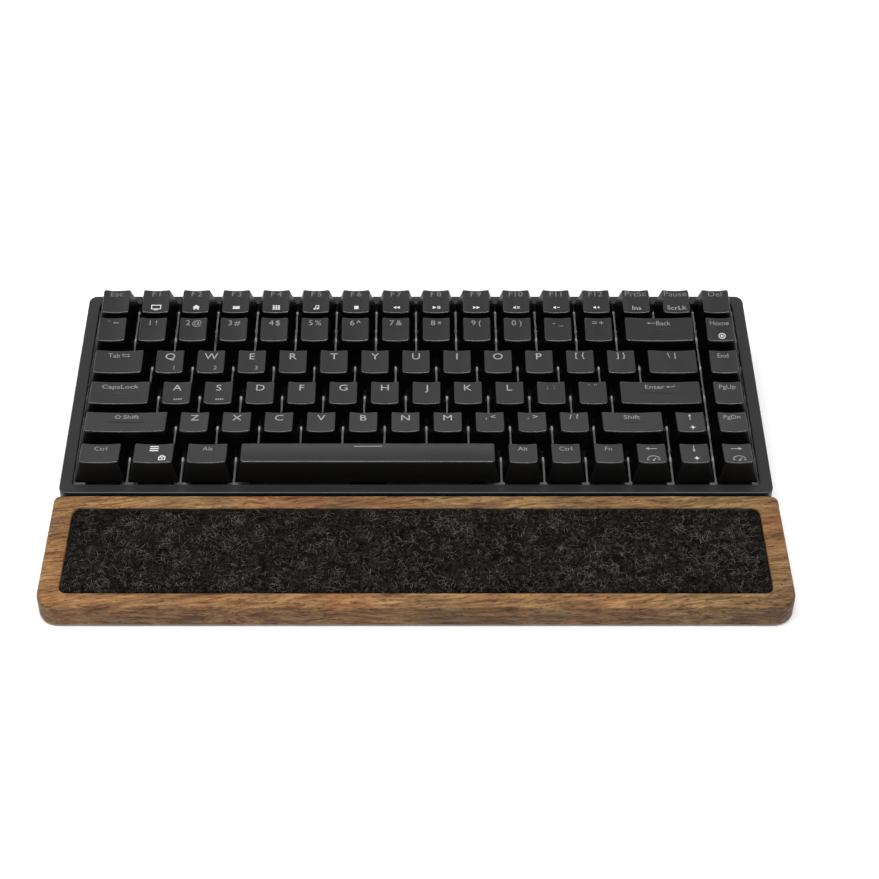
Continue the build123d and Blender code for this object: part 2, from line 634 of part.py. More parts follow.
STAB_SADDLE = ((3.4, 4.9), (8.0, 11.0))
SADDLE_FIT = 0.05


def rectangle_between(x_pair, y_pair, inward=1):
    """A rectangle between two limits each way, mirrored in X where inward is -1."""
    with Locations((inward * (x_pair[0] + x_pair[1]) / 2, (y_pair[0] + y_pair[1]) / 2)):
        Rectangle(abs(x_pair[1] - x_pair[0]), abs(y_pair[1] - y_pair[0]))


def stabilizer_slider(inward):
    with BuildPart() as slider:
        with BuildSketch(Plane.XY.offset(PLATE_TOP - STAB_SLIDER_DEPTH)):
            rectangle_between(STAB_SLIDER_X, STAB_SLIDER_V, inward)
        extrude(amount=SHOULDER - PLATE_TOP + STAB_SLIDER_DEPTH)
        with BuildSketch(Plane.YZ):
            with Locations((STAB_HOLE_V, STAB_HOLE_H)):
                Circle(WIRE_RADIUS + STAB_HOLE_FIT)
        extrude(amount=STAB_TUBE[0][1], both=True, mode=Mode.SUBTRACT)
        add(cross(Plane.XY.offset(SHOULDER), CROSS_LENGTH, CROSS_ARMS))
        extrude(amount=CROSS_TOP - SHOULDER)
    return slider.part


def stabilizer_housing(inward):
    """A guide tube in the plate, open at the back for the wire's leg, with a saddle for the bar."""
    leg = inward * WIRE_LEG_X
    with BuildPart() as housing:
        with BuildSketch(Plane.XY.offset(PLATE_TOP - STAB_DEPTH)):
            rectangle_between(*STAB_TUBE)
        extrude(amount=STAB_DEPTH)
        with BuildSketch(Plane.XY.offset(PLATE_TOP)):
            rectangle_between(*STAB_FLANGE)
            rectangle_between(*STAB_ARM, inward)
            rectangle_between(*STAB_BRIDGE, inward)
            rectangle_between(*STAB_SADDLE, inward)
        extrude(amount=STAB_COLLAR)
        with BuildSketch(Plane.XY.offset(PLATE_TOP - STAB_DEPTH)):
            rectangle_between(*STAB_ROOM)
            rectangle_between((leg - STAB_SLOT[0], leg + STAB_SLOT[0]), STAB_SLOT[1])
        extrude(amount=STAB_DEPTH + STAB_COLLAR, mode=Mode.SUBTRACT)
        with BuildSketch(Plane.YZ.offset(inward * sum(STAB_SADDLE[0]) / 2)):
            with Locations((WIRE_PIVOT_V, WIRE_PIVOT_H)):
                Circle(WIRE_RADIUS + SADDLE_FIT)
            with Locations((WIRE_PIVOT_V, WIRE_PIVOT_H + STAB_COLLAR / 2)):
                Rectangle(2 * (WIRE_RADIUS + SADDLE_FIT), STAB_COLLAR)
        extrude(amount=STAB_COLLAR, both=True, mode=Mode.SUBTRACT)
    return housing.part


def make_stabilizer_housings():
    with BuildPart(DECK) as stabilizer_housings:
        for x, v, inward in STABILIZERS:
            with Locations((x, v)):
                add(stabilizer_housing(inward))
    save(stabilizer_housings.part, "stabilizer_housings")


def make_stabilizer_wire(key, x, v, name):
    """A bent wire: a bar in the saddles, two legs, and hooks through the sliders."""
    spread = STABILIZER_SPREAD[key]
    swing = radians(WIRE_SWING)
    leg_out = DECK.y_dir * -cos(swing) + DECK.z_dir * sin(swing)
    plane = Plane(DECK.from_local_coords((x, v + WIRE_PIVOT_V, WIRE_PIVOT_H)),
                  x_dir=(1, 0, 0), z_dir=Vector(1, 0, 0).cross(leg_out))
    leg = spread - WIRE_LEG_X
    hook = spread + WIRE_HOOK_X
    with BuildPart() as wire:
        with BuildLine(plane) as path:
            FilletPolyline((-hook, WIRE_LEG), (-leg, WIRE_LEG), (-leg, 0), (leg, 0),
                           (leg, WIRE_LEG), (hook, WIRE_LEG), radius=WIRE_BEND)
        with BuildSketch(path.line ^ 0):
            Circle(WIRE_RADIUS)
        sweep()
    save(wire.part, name)


# ---------------------------------------------------------------- keys
def cap_form(width, row, wall, roof, crown):
    """The tapered block of a cap; wall and roof shrink it to the hollow inside."""
    front_height, front, back_height, back = CAP_PROFILES[row]
    base = (U - CAP_GAP) / 2 - wall
    front_corner = (front - U / 2 + wall, front_height - roof)
    back_corner = (back - U / 2 - wall, back_height - roof)
    middle = ((front_corner[0] + back_corner[0]) / 2, (front_corner[1] + back_corner[1]) / 2)
    half = (width - CAP_GAP) / 2 - wall
    rate = CAP_INSET / (middle[1] + roof - CAP_BOTTOM)
    top = max(CAP_PROFILES[row][0], CAP_PROFILES[row][2]) + 1
    top_half = half - rate * (top - CAP_BOTTOM)
    with BuildPart() as form:
        with BuildSketch(Plane.YZ.offset(-width / 2)):
            with BuildLine():
                Polyline(front_corner, (-base, CAP_BOTTOM), (base, CAP_BOTTOM), back_corner)
                if crown:
                    ThreePointArc(back_corner, (middle[0], middle[1] + crown), front_corner)
                else:
                    Line(back_corner, front_corner)
            make_face()
        extrude(amount=width)
        with BuildSketch(Plane.XZ.offset(-U / 2)):
            with BuildLine():
                Polyline((-half, CAP_BOTTOM), (half, CAP_BOTTOM), (top_half, top),
                         (-top_half, top), close=True)
            make_face()
        extrude(amount=U, mode=Mode.INTERSECT)
    return form.part


def keycap(units, row, spread, crown):
    front_height, front, back_height, back = CAP_PROFILES[row]
    width = units * U
    half = (width - CAP_GAP) / 2 - CAP_INSET
    dish_radius = (half * half + CAP_DISH * CAP_DISH) / (2 * CAP_DISH)
    slope = Vector(0, back - front, back_height - front_height).normalized()
    sockets = [(-spread, 0), (0, 0), (spread, 0)] if spread else [(0, 0)]
    with BuildPart() as cap:
        add(cap_form(width, row, 0, 0, crown))
        fillet(cap.edges().filter_by(lambda edge: abs(edge.tangent_at(0).Z) > STEEP), CAP_CORNER)
        if not crown:
            with BuildSketch(Plane((0, front - U / 2, front_height), x_dir=(1, 0, 0), z_dir=slope)):
                with Locations((0, CAP_DISH - dish_radius)):
                    Circle(dish_radius)
            extrude(amount=2 * U, both=True, mode=Mode.SUBTRACT)
        add(cap_form(width, row, CAP_WALL, CAP_ROOF + CAP_DISH, 0), mode=Mode.SUBTRACT)
        with BuildSketch(Plane.XY.offset(SOCKET_BOTTOM)):
            with Locations(*sockets):
                Circle(SOCKET_RADIUS)
        extrude(amount=min(front_height, back_height) - SOCKET_REACH - SOCKET_BOTTOM)
        with Locations(*[(x, y, SOCKET_BOTTOM) for x, y in sockets]):
            add(cross(Plane.XY, CROSS_LENGTH + 2 * CROSS_FIT,
                      [arm + 2 * CROSS_FIT for arm in CROSS_ARMS]))
        extrude(amount=CROSS_TOP + CROSS_FIT - SOCKET_BOTTOM, mode=Mode.SUBTRACT)
    return cap.part


def make_keys():
    """One node for each key or group of keys: its caps and the sliders they sit on."""
    caps = {}
    slider = switch_slider()
    for name in sorted({node for node, _, _, _, _ in KEYS}):
        spread = STABILIZER_SPREAD.get(name, 0)
        crown = SPACE_CROWN if name == "key_space" else 0
        with BuildPart(DECK) as node:
            for key, row, units, x, v in KEYS:
                if key != name:
                    continue
                shape = (units, row, spread, crown)
                if shape not in caps:
                    caps[shape] = keycap(*shape)
                with Locations((x, v)):
                    add(caps[shape])
                    add(slider)
                for offset in (-spread, spread) if spread else ():
                    with Locations((x + offset, v)):
                        add(stabilizer_slider(-copysign(1, offset)))
        save(node.part, name)


def make_stabilizer_wires():
    for node, _, _, x, v in KEYS:
        if node in STABILIZER_SPREAD:
            make_stabilizer_wire(node, x, v, node.replace("key_", "") + "_wire")


# ---------------------------------------------------------------- wrist rest
REST_BACK = CASE_FRONT - REST_GAP
REST_FRONT = REST_BACK - REST_DEPTH
REST_MIDDLE = (REST_BACK + REST_FRONT) / 2
REST_PAD = 0.8
REST_FRONT_CORNER = 9.0
REST_BACK_CORNER = 3.5
REST_TOP_ROUND = 1.6
REST_CHAMFER = 0.8
REST_PAD_SIZE = (24.0, 7.0)
REST_PAD_PITCH = (134.0, 43.0)
REST_TOP = Plane(
    origin=(0, REST_MIDDLE, (REST_BACK_HEIGHT + REST_FRONT_HEIGHT) / 2),
    x_dir=(1, 0, 0),
    z_dir=(0, REST_FRONT_HEIGHT - REST_BACK_HEIGHT, REST_DEPTH),
)
FELT_CORNER = 3.8
FELT_FIT = 0.2


def make_wrist_rest_body():
    with BuildPart() as wrist_rest_body:
        with BuildSketch(Plane.YZ.offset(-REST_WIDTH / 2)):
            with BuildLine():
                Polyline(
                    (REST_FRONT, REST_PAD),
                    (REST_BACK, REST_PAD),
                    (REST_BACK, REST_BACK_HEIGHT),
                    (REST_FRONT, REST_FRONT_HEIGHT),
                    close=True,
                )
            make_face()
        extrude(amount=REST_WIDTH)
        upright = wrist_rest_body.edges().filter_by(Axis.Z).sort_by(Axis.Y)
        fillet(upright[:2], REST_FRONT_CORNER)
        upright = wrist_rest_body.edges().filter_by(Axis.Z).sort_by(Axis.Y)
        fillet(upright[-2:], REST_BACK_CORNER)
        fillet(wrist_rest_body.faces().sort_by(Axis.Z)[-1].edges(), REST_TOP_ROUND)
        chamfer(wrist_rest_body.faces().sort_by(Axis.Z)[0].edges(), REST_CHAMFER)
        with BuildSketch(REST_TOP):
            with Locations((0, FELT_SHIFT)):
                RectangleRounded(FELT_WIDTH + 2 * FELT_FIT, FELT_DEPTH + 2 * FELT_FIT,
                                 FELT_CORNER + FELT_FIT)
        extrude(amount=-FELT_THICKNESS, mode=Mode.SUBTRACT)
    save(wrist_rest_body.part, "wrist_rest_body")


def make_wrist_rest_felt():
    with BuildPart() as wrist_rest_felt:
        with BuildSketch(REST_TOP.offset(-FELT_THICKNESS)):
            with Locations((0, FELT_SHIFT)):
                RectangleRounded(FELT_WIDTH, FELT_DEPTH, FELT_CORNER)
        extrude(amount=FELT_THICKNESS)
    save(wrist_rest_felt.part, "wrist_rest_felt")


def make_wrist_rest_feet():
    with BuildPart() as wrist_rest_feet:
        with BuildSketch(Plane.XY):
            with Locations((0, REST_MIDDLE)):
                with GridLocations(*REST_PAD_PITCH, 3, 2):
                    SlotOverall(*REST_PAD_SIZE)
        extrude(amount=REST_PAD)
    save(wrist_rest_feet.part, "wrist_rest_feet")


# ---------------------------------------------------------------- the whole set
make_top_case()
make_bottom_case()
make_rubber_feet()
make_tilt_foot(-1, "tilt_foot_left")
make_tilt_foot(1, "tilt_foot_right")
make_switch_plate()
make_circuit_board()
make_backlight_leds()
make_controller_chip()
make_battery()
make_usb_c_port()
make_power_switch()
make_plate_screws()
make_switch_housings()
make_switch_springs()
make_stabilizer_housings()
make_stabilizer_wires()
make_keys()
make_wrist_rest_body()
make_wrist_rest_felt()
make_wrist_rest_feet()
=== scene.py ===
import random
from collections import namedtuple
from math import cos, pi, radians, sin

import bmesh
import bpy
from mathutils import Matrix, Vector


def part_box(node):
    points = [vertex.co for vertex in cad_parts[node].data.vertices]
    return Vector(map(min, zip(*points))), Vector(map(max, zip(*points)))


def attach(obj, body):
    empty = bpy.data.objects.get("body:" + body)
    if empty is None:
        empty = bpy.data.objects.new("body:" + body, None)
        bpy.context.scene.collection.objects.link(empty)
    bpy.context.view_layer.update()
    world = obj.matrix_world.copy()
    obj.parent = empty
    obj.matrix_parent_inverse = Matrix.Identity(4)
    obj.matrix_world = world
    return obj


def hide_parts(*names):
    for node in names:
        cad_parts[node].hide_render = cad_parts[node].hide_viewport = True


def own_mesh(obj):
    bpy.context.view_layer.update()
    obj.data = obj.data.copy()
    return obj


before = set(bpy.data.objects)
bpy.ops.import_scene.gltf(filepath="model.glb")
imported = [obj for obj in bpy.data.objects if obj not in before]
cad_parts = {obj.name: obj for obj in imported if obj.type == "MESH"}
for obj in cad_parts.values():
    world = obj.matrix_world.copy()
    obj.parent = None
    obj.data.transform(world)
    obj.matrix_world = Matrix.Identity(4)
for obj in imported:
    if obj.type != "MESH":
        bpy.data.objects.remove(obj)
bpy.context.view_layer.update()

# ---- sizes, in metres as in the CAD
MM = 0.001
MICRON = 0.000001
U = 19.05 * MM
COLUMNS = 16
CAP_GAP = 0.85 * MM
KEY_MARGIN = 0.4 * MM
BEZEL_FRONT = 5.1 * MM
FRONT_HEIGHT = 15.4 * MM
TILT = radians(6.5)
CAP_BOTTOM = 0.2 * MM
CAP_INSET = 2.87 * MM
CAP_WALL = 1.3 * MM
CAP_ROOF = 1.5 * MM
CAP_DISH = 0.7 * MM
CAP_EASE = 0.45 * MM      # how wide the top face's rim is rounded
SKIRT_CORNERS = (0.8 * MM, 0.35 * MM)     # corner radii, at the front and at the back
RIM_CORNERS = (1.2 * MM, 0.8 * MM)
FACE_CORNERS = (1.0 * MM, 0.6 * MM)
HOLLOW_CORNERS = (0.4 * MM, 0.4 * MM)
SPACE_CROWN = 0.8 * MM
SHOULDER = -0.25 * MM
CROSS_TOP = 3.6 * MM
CROSS_LENGTH = 4.0 * MM
CROSS_ARM = 1.2 * MM
SLIDER_SIZE = (6.8 * MM, 6.0 * MM, 4.0 * MM)
SLIDER_CORNER = 0.3 * MM
SEAT_RADIUS = 2.3 * MM
STABILIZER_SIDES = (0.45 * MM, 2.3 * MM)       # of its slider, towards the key's middle and away from it
STABILIZER_DEPTH = (-3.3 * MM, 3.9 * MM)
STABILIZER_BOTTOM = -6.4 * MM
WIRE_HOLE = (2.14 * MM, -3.0 * MM, 1.1 * MM)   # up the slope, height and radius
SPRING_FLOOR = -9.6 * MM
SPRING_TOP = -1.75 * MM
# Each row from the front: front edge height, its distance from the cell's front, the same of the back edge.
CAP_PROFILES = [[size * MM for size in profile] for profile in (
    (10.3, 3.9, 8.9, 16.1), (10.3, 3.3, 8.9, 16.2), (9.0, 2.5, 8.9, 16.2), (9.3, 2.6, 9.9, 16.4),
    (10.9, 2.75, 12.5, 16.3), (10.9, 2.5, 12.3, 16.3))]
STABILIZERS = {"key_space": 50.0 * MM, "key_enter": 11.938 * MM, "key_backspace": 11.938 * MM,
               "key_left_shift": 11.938 * MM}

case_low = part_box("top_case")[0]
X_AXIS = Vector((1, 0, 0))
UP_DECK = Vector((0, cos(TILT), sin(TILT)))
DECK_NORMAL = Vector((0, -sin(TILT), cos(TILT)))
DECK_ORIGIN = Vector((0, case_low.y, FRONT_HEIGHT)) + UP_DECK * BEZEL_FRONT


def deck(x, v, h):
    """A point of the deck: x along the rows, v up the slope, h above the bezel."""
    return DECK_ORIGIN + X_AXIS * x + UP_DECK * v + DECK_NORMAL * h


# ---- mesh helpers
def new_object(name, vertices, faces, smooth=True):
    mesh = bpy.data.meshes.new(name)
    mesh.from_pydata([tuple(v) for v in vertices], [], faces)
    mesh.validate()
    for polygon in mesh.polygons:
        polygon.use_smooth = smooth
    thing = bpy.data.objects.new(name, mesh)
    bpy.context.scene.collection.objects.link(thing)
    return thing


class Build:
    """Vertices and faces gathered for one object, with a material index for each face."""

    def __init__(self):
        self.vertices, self.faces, self.kinds = [], [], []

    def skin(self, rings, kinds):
        """Quads between successive rings of equal length, closed by a face at each end.

        kinds has one entry for each band: one material for it all, or a list of one for each quad.
        """
        count = len(rings[0])
        start = len(self.vertices)
        for ring in rings:
            self.vertices.extend(ring)
        for band in range(len(rings) - 1):
            low = start + band * count
            kind = kinds[band]
            self.kinds.extend([kind] * count if isinstance(kind, int) else kind)
            for i in range(count):
                j = (i + 1) % count
                self.faces.append((low + i, low + j, low + count + j, low + count + i))
        last = start + (len(rings) - 1) * count
        self.faces.append(tuple(start + i for i in reversed(range(count))))
        self.faces.append(tuple(last + i for i in range(count)))
        self.kinds += [kinds[0], kinds[-1]]

    def add(self, vertices, faces, kind=0):
        start = len(self.vertices)
        self.vertices.extend(vertices)
        for face in faces:
            self.faces.append(tuple(start + i for i in face))
            self.kinds.append(kind)

    def make(self, name, materials, smooth=True):
        thing = new_object(name, self.vertices, self.faces, smooth)
        for material in materials:
            thing.data.materials.append(material)
        for polygon, kind in zip(thing.data.polygons, self.kinds):
            polygon.material_index = kind
        return thing


def mix(a, b, t):
    return a + (b - a) * t


def bend(a, corner, b, t):
    """A point of the quadratic curve from a to b that turns at corner."""
    return mix(mix(a, corner, t), mix(corner, b, t), t)


def rounded_outline(x0, x1, y0, y1, radii, straight_x, straight_y, corner=5):
    """Points round a rectangle, anticlockwise from the front left corner.

    radii are those of the front left, front right, back right and back left corners.
    """
    corners = [(x0, y0, 1, 1), (x1, y0, -1, 1), (x1, y1, -1, -1), (x0, y1, 1, -1)]

    def on_corner(k, angle):
        (x, y, side_x, side_y), r = corners[k % 4], radii[k % 4]
        return x + side_x * r + r * cos(angle), y + side_y * r + r * sin(angle)

    points = []
    for k in range(4):
        start = pi + k * pi / 2
        points += [on_corner(k, start + i * pi / 2 / corner) for i in range(corner + 1)]
        here, goal = points[-1], on_corner(k + 1, start + pi / 2)
        steps = straight_x if k % 2 == 0 else straight_y
        points += [tuple(mix(a, b, i / steps) for a, b in zip(here, goal)) for i in range(1, steps)]
    return points


# ---- materials
GRAIN_SLANT = 0.12       # radians between the wood's grain and X
HIGHLIGHT_LEAN = radians(36)   # how far the painted highlight on the case's edge leans to the front


class Nodes:
    """The nodes of a material or world under construction, with short ways to add to them.

    A stop of a ramp is a place and its colour, or its place and a number for a grey.
    """

    def __init__(self, owner):
        self.owner = owner
        owner.use_nodes = True
        self.tree = owner.node_tree
        self.shader = self.tree.nodes.get("Principled BSDF")
        self.coordinates = self.node("ShaderNodeTexCoord").outputs
        self.place = self.coordinates["Object"]

    def node(self, kind, inputs=(), **settings):
        made = self.tree.nodes.new(kind)
        for key, value in settings.items():
            setattr(made, key, value)
        for key, value in dict(inputs).items():
            made.inputs[key].default_value = value
        return made

    def link(self, source, target):
        self.tree.links.new(source, target)

    def stretched(self, factors, rotation=(0, 0, 0), shift=(0, 0, 0), place=None):
        mapping = self.node("ShaderNodeMapping", {"Scale": factors, "Rotation": rotation, "Location": shift})
        self.link(place or self.place, mapping.inputs["Vector"])
        return mapping.outputs["Vector"]

    def facing(self, way):
        """How nearly the surface faces a direction, as a dot product."""
        made = self.node("ShaderNodeVectorMath", {1: way}, operation="DOT_PRODUCT")
        self.link(self.coordinates["Normal"], made.inputs[0])
        return made.outputs["Value"]

    def noise(self, scale, detail=3, rough=0.5, distortion=0.0, place=None):
        made = self.node("ShaderNodeTexNoise", {"Scale": scale, "Detail": detail, "Roughness": rough,
                                                "Distortion": distortion})
        self.link(place or self.place, made.inputs["Vector"])
        return made.outputs["Fac"]

    def ramp(self, source, stops):
        made = self.node("ShaderNodeValToRGB")
        elements = made.color_ramp.elements
        while len(elements) < len(stops):
            elements.new(0.5)
        for element, (position, colour) in zip(elements, stops):
            element.position = position
            element.color = (*colour, 1) if isinstance(colour, tuple) else (colour, colour, colour, 1)
        self.link(source, made.inputs["Fac"])
        return made.outputs["Color"]

    def blend(self, first, second, amount, mode="MIX"):
        """Two colours mixed; amount is a number or a socket."""
        made = self.node("ShaderNodeMix", data_type="RGBA", blend_type=mode)
        for value, socket in ((first, made.inputs[6]), (second, made.inputs[7]), (amount, made.inputs[0])):
            if isinstance(value, (int, float)):
                socket.default_value = value
            elif isinstance(value, tuple):
                socket.default_value = (*value, 1)
            else:
                self.link(value, socket)
        return made.outputs[2]

    def span(self, source, low, high):
        """A factor from 0 to 1 spread over low to high."""
        made = self.node("ShaderNodeMapRange", {"To Min": low, "To Max": high})
        self.link(source, made.inputs["Value"])
        return made.outputs["Result"]

    def bump(self, source, strength, distance, normal=None):
        made = self.node("ShaderNodeBump", {"Strength": strength, "Distance": distance})
        self.link(source, made.inputs["Height"])
        if normal is not None:
            self.link(normal, made.inputs["Normal"])
        return made.outputs["Normal"]

    def finish(self, colour=None, roughness=None, normal=None, **fixed):
        for key, source in (("Base Color", colour), ("Roughness", roughness), ("Normal", normal)):
            if source is not None:
                self.link(source, self.shader.inputs[key])
        for key, value in fixed.items():
            self.shader.inputs[key.replace("_", " ")].default_value = value
        return self.owner


def new_material(name):
    return Nodes(bpy.data.materials.new(name))


def moulded(name, dark, light, rough, grain, depth=10 * MICRON, specular=0.5):
    """A moulded or coated surface: slight tone drift, a fine grain and uneven gloss."""
    n = new_material(name)
    colour = n.ramp(n.noise(60, 4, 0.6), [(0.3, dark), (0.7, light)])
    gloss = n.span(n.noise(180, 3, 0.6), *rough)
    return n.finish(colour, gloss, n.bump(n.noise(grain, 2, 0.6), 0.35, depth), Specular_IOR_Level=specular)


def case_material():
    """Satin moulded plastic, painted paler as a highlight where the deck turns over its front edge."""
    n = new_material("case_plastic")
    body = n.ramp(n.noise(60, 4, 0.6), [(0.3, (0.0080, 0.0080, 0.0084)), (0.7, (0.0110, 0.0110, 0.0115))])
    # a paler band where the edge faces up and forward: a painted highlight
    turned = n.ramp(n.facing((0, -sin(HIGHLIGHT_LEAN), cos(HIGHLIGHT_LEAN))), [(0.92, 0.0), (0.98, 1.0)])
    colour = n.blend(body, (0.055, 0.055, 0.057), turned)
    gloss = n.span(n.noise(180, 3, 0.6), 0.36, 0.44)
    return n.finish(colour, gloss, n.bump(n.noise(2600, 2, 0.6), 0.35, 30 * MICRON), Specular_IOR_Level=0.45)


def metal(name, dark, light, rough, stretch=(1, 1, 1)):
    """Bare metal with a fine grain, drawn into lines along an axis whose stretch is below 1."""
    n = new_material(name)
    lines = n.noise(2600, 2, 0.6, place=n.stretched(stretch))
    colour = n.ramp(lines, [(0.25, dark), (0.75, light)])
    return n.finish(colour, n.span(lines, *rough), n.bump(lines, 0.25, 30 * MICRON), Metallic=1.0)


def wood_material():
    """Oiled oak with its grain near X: wavy growth lines, streaks, short pores and a warm drift.

    Its sides are darker as painted shade, and along X it is paler a little left of the middle and darker at
    the right end as painted light and shade.
    """
    n = new_material("rest_wood")
    slanted = n.stretched((1.0, 1.0, 1.0), (0, 0, -GRAIN_SLANT))
    wave = n.noise(26, 2, 0.5, place=n.stretched((0.5, 1.0, 1.0)))
    bent = n.node("ShaderNodeVectorMath", {1: (0.0, 0.016, 0.016)}, operation="MULTIPLY_ADD")
    n.link(wave, bent.inputs[0])
    n.link(slanted, bent.inputs[2])

    def along(factor):
        return n.stretched((factor, 1.0, 1.0), place=bent.outputs["Vector"])

    lines = n.noise(640, 5, 0.70, 0.5, place=along(0.11))
    broad = n.noise(95, 4, 0.62, 0.8, place=along(0.12))
    pores = n.noise(1300, 3, 0.6, 0.3, place=along(0.26))
    flames = n.noise(150, 3, 0.55, 1.2, place=along(0.16))
    drift = n.noise(22, 3, 0.5)
    base = n.ramp(lines, [(0.34, (0.082, 0.034, 0.0110)), (0.44, (0.180, 0.088, 0.032)),
                          (0.54, (0.275, 0.150, 0.060)), (0.66, (0.375, 0.226, 0.098))])
    tone = n.ramp(broad, [(0.34, (0.62, 0.56, 0.50)), (0.50, 1.0), (0.66, (1.25, 1.26, 1.20))])
    toned = n.blend(base, tone, 0.85, "MULTIPLY")
    warmth = n.ramp(drift, [(0.36, (1.10, 0.93, 0.82)), (0.64, (0.96, 1.05, 1.02))])
    warmed = n.blend(toned, warmth, 0.9, "MULTIPLY")
    flame_mask = n.ramp(flames, [(0.485, 1.0), (0.500, (0.55, 0.44, 0.36)), (0.515, 1.0)])
    figured = n.blend(warmed, flame_mask, 0.7, "MULTIPLY")
    pore_mask = n.ramp(pores, [(0.34, (0.26, 0.19, 0.14)), (0.44, 1.0)])
    grained = n.blend(figured, pore_mask, 0.9, "MULTIPLY")
    # faces turned away from the top are darkened: painted shade
    sides = n.ramp(n.facing((0, 0, 1)), [(0.40, (0.76, 0.77, 0.82)), (0.80, 1.0)])
    # paler a little left of the middle and darker towards the right end along X: painted light and shade
    lengthwise = n.node("ShaderNodeSeparateXYZ")
    n.link(n.stretched((3.1, 1.0, 1.0), shift=(0.5, 0.0, 0.0)), lengthwise.inputs[0])
    ends = n.ramp(lengthwise.outputs["X"], [(0.0, 0.97), (0.35, 1.05), (0.82, 1.02), (0.97, 0.78)])
    colour = n.blend(n.blend(grained, sides, 1.0, "MULTIPLY"), ends, 1.0, "MULTIPLY")
    relief = n.bump(pores, 0.6, 200 * MICRON, n.bump(lines, 0.35, 200 * MICRON))
    return n.finish(colour, n.span(lines, 0.66, 0.5), relief, Specular_IOR_Level=0.28)


def felt_material():
    """Grey melange wool felt: two lays of matted strands, in lighter and darker clumps."""
    n = new_material("rest_felt")
    clumps = n.noise(230, 5, 0.7, 2.0)
    lay_a = n.noise(1150, 3, 0.6, 4.0, place=n.stretched((1.0, 0.4, 1.0), (0, 0, 0.6)))
    lay_b = n.noise(1250, 3, 0.6, 4.0, place=n.stretched((0.4, 1.0, 1.0), (0, 0, 0.9)))
    base = n.ramp(clumps, [(0.42, 0.0003), (0.54, (0.0020, 0.0019, 0.0016)),
                           (0.66, (0.0090, 0.0084, 0.0070))])
    strands = n.blend(n.ramp(lay_a, [(0.55, 0.0), (0.64, (0.100, 0.0945, 0.0800))]),
                      n.ramp(lay_b, [(0.56, 0.0), (0.65, (0.080, 0.0745, 0.0620))]), 1.0, "ADD")
    shown = n.blend(strands, n.ramp(clumps, [(0.42, 0.08), (0.62, 1.0)]), 1.0, "MULTIPLY")
    colour = n.blend(base, shown, 1.0, "ADD")
    relief = n.bump(lay_a, 0.8, 400 * MICRON, n.bump(clumps, 0.7, 600 * MICRON))
    return n.finish(colour, None, relief, Roughness=0.95, Specular_IOR_Level=0.05)


def board_material():
    """Dark solder mask with a faint pattern of tracks."""
    n = new_material("board_mask")
    bricks = n.node("ShaderNodeTexBrick", {"Scale": 260, "Mortar Size": 0.03})
    n.link(n.place, bricks.inputs["Vector"])
    tracks = bricks.outputs["Fac"]
    mask = n.ramp(n.noise(90, 3), [(0.3, (0.006, 0.022, 0.012)), (0.7, (0.010, 0.034, 0.018))])
    colour = n.blend(mask, (0.03, 0.09, 0.045), tracks)
    return n.finish(colour, n.span(n.noise(300, 3), 0.28, 0.45), n.bump(tracks, 0.2, 50 * MICRON))


def lens_material():
    """Pale yellow-white resin of the LEDs, lit from inside."""
    n = new_material("led_lens")
    colour = n.ramp(n.noise(800, 2), [(0.3, (0.85, 0.83, 0.70)), (0.7, (0.95, 0.93, 0.85))])
    return n.finish(colour, n.span(n.noise(500, 2), 0.2, 0.35), Emission_Color=(0.9, 0.95, 1.0, 1.0),
                    Emission_Strength=1.5)


CAP_TOP = moulded("keycap_top", (0.0108, 0.0108, 0.0112), (0.0145, 0.0145, 0.0150), (0.34, 0.42), 3200,
                  20 * MICRON)
# the sides are the same plastic as the tops; their far darker colour is painted shade
CAP_SHADED_SIDE = moulded("keycap_side", 0.0010, 0.0015, (0.34, 0.42), 1800, specular=0.15)
# the front band of a cap's top rim: glossier, which is real, and paler, which is a painted highlight
CAP_HIGHLIGHT_EDGE = moulded("keycap_edge", (0.018, 0.018, 0.0185), (0.024, 0.024, 0.0245), (0.16, 0.24), 2400,
                   specular=0.8)
LEGEND_PRINTS = [moulded("legend_" + name, dark, light, (0.45, 0.6), 2400) for name, dark, light in (
    ("print", 0.30, 0.38), ("soft", 0.21, 0.27), ("dim", 0.14, 0.18), ("bright", 0.62, 0.72))]
CASE = case_material()
CASE_UNDER = moulded("case_under", (0.009, 0.009, 0.0095), (0.013, 0.013, 0.0135), (0.55, 0.68), 1500,
                     80 * MICRON)
PLATE = moulded("plate_coat", (0.74, 0.75, 0.76), (0.84, 0.85, 0.86), (0.4, 0.55), 1800, 30 * MICRON)
HOUSING = moulded("housing_plastic", 0.010, 0.016, (0.35, 0.5), 1500, 20 * MICRON)
SLIDER = moulded("slider_plastic", (0.030, 0.085, 0.140), (0.038, 0.100, 0.165), (0.3, 0.42), 1500,
                 20 * MICRON)
CHIP = moulded("chip_resin", 0.018, 0.028, (0.5, 0.65), 2500, 20 * MICRON)
KNOB = moulded("switch_knob", 0.020, 0.028, (0.4, 0.5), 2500, 20 * MICRON)
RUBBER = moulded("foot_rubber", 0.016, 0.024, (0.75, 0.9), 1200, 80 * MICRON, 0.3)
STEEL = metal("spring_steel", (0.45, 0.45, 0.46), (0.62, 0.62, 0.63), (0.2, 0.35))
PORT = metal("port_steel", (0.42, 0.42, 0.43), (0.58, 0.58, 0.60), (0.25, 0.4), (1, 0.08, 1))
SCREW = metal("screw_steel", (0.42, 0.42, 0.43), (0.55, 0.55, 0.56), (0.3, 0.45))
POUCH = metal("battery_wrap", (0.40, 0.41, 0.43), (0.55, 0.56, 0.58), (0.35, 0.5))
BOARD = board_material()
LENS = lens_material()
WOOD = wood_material()
FELT = felt_material()
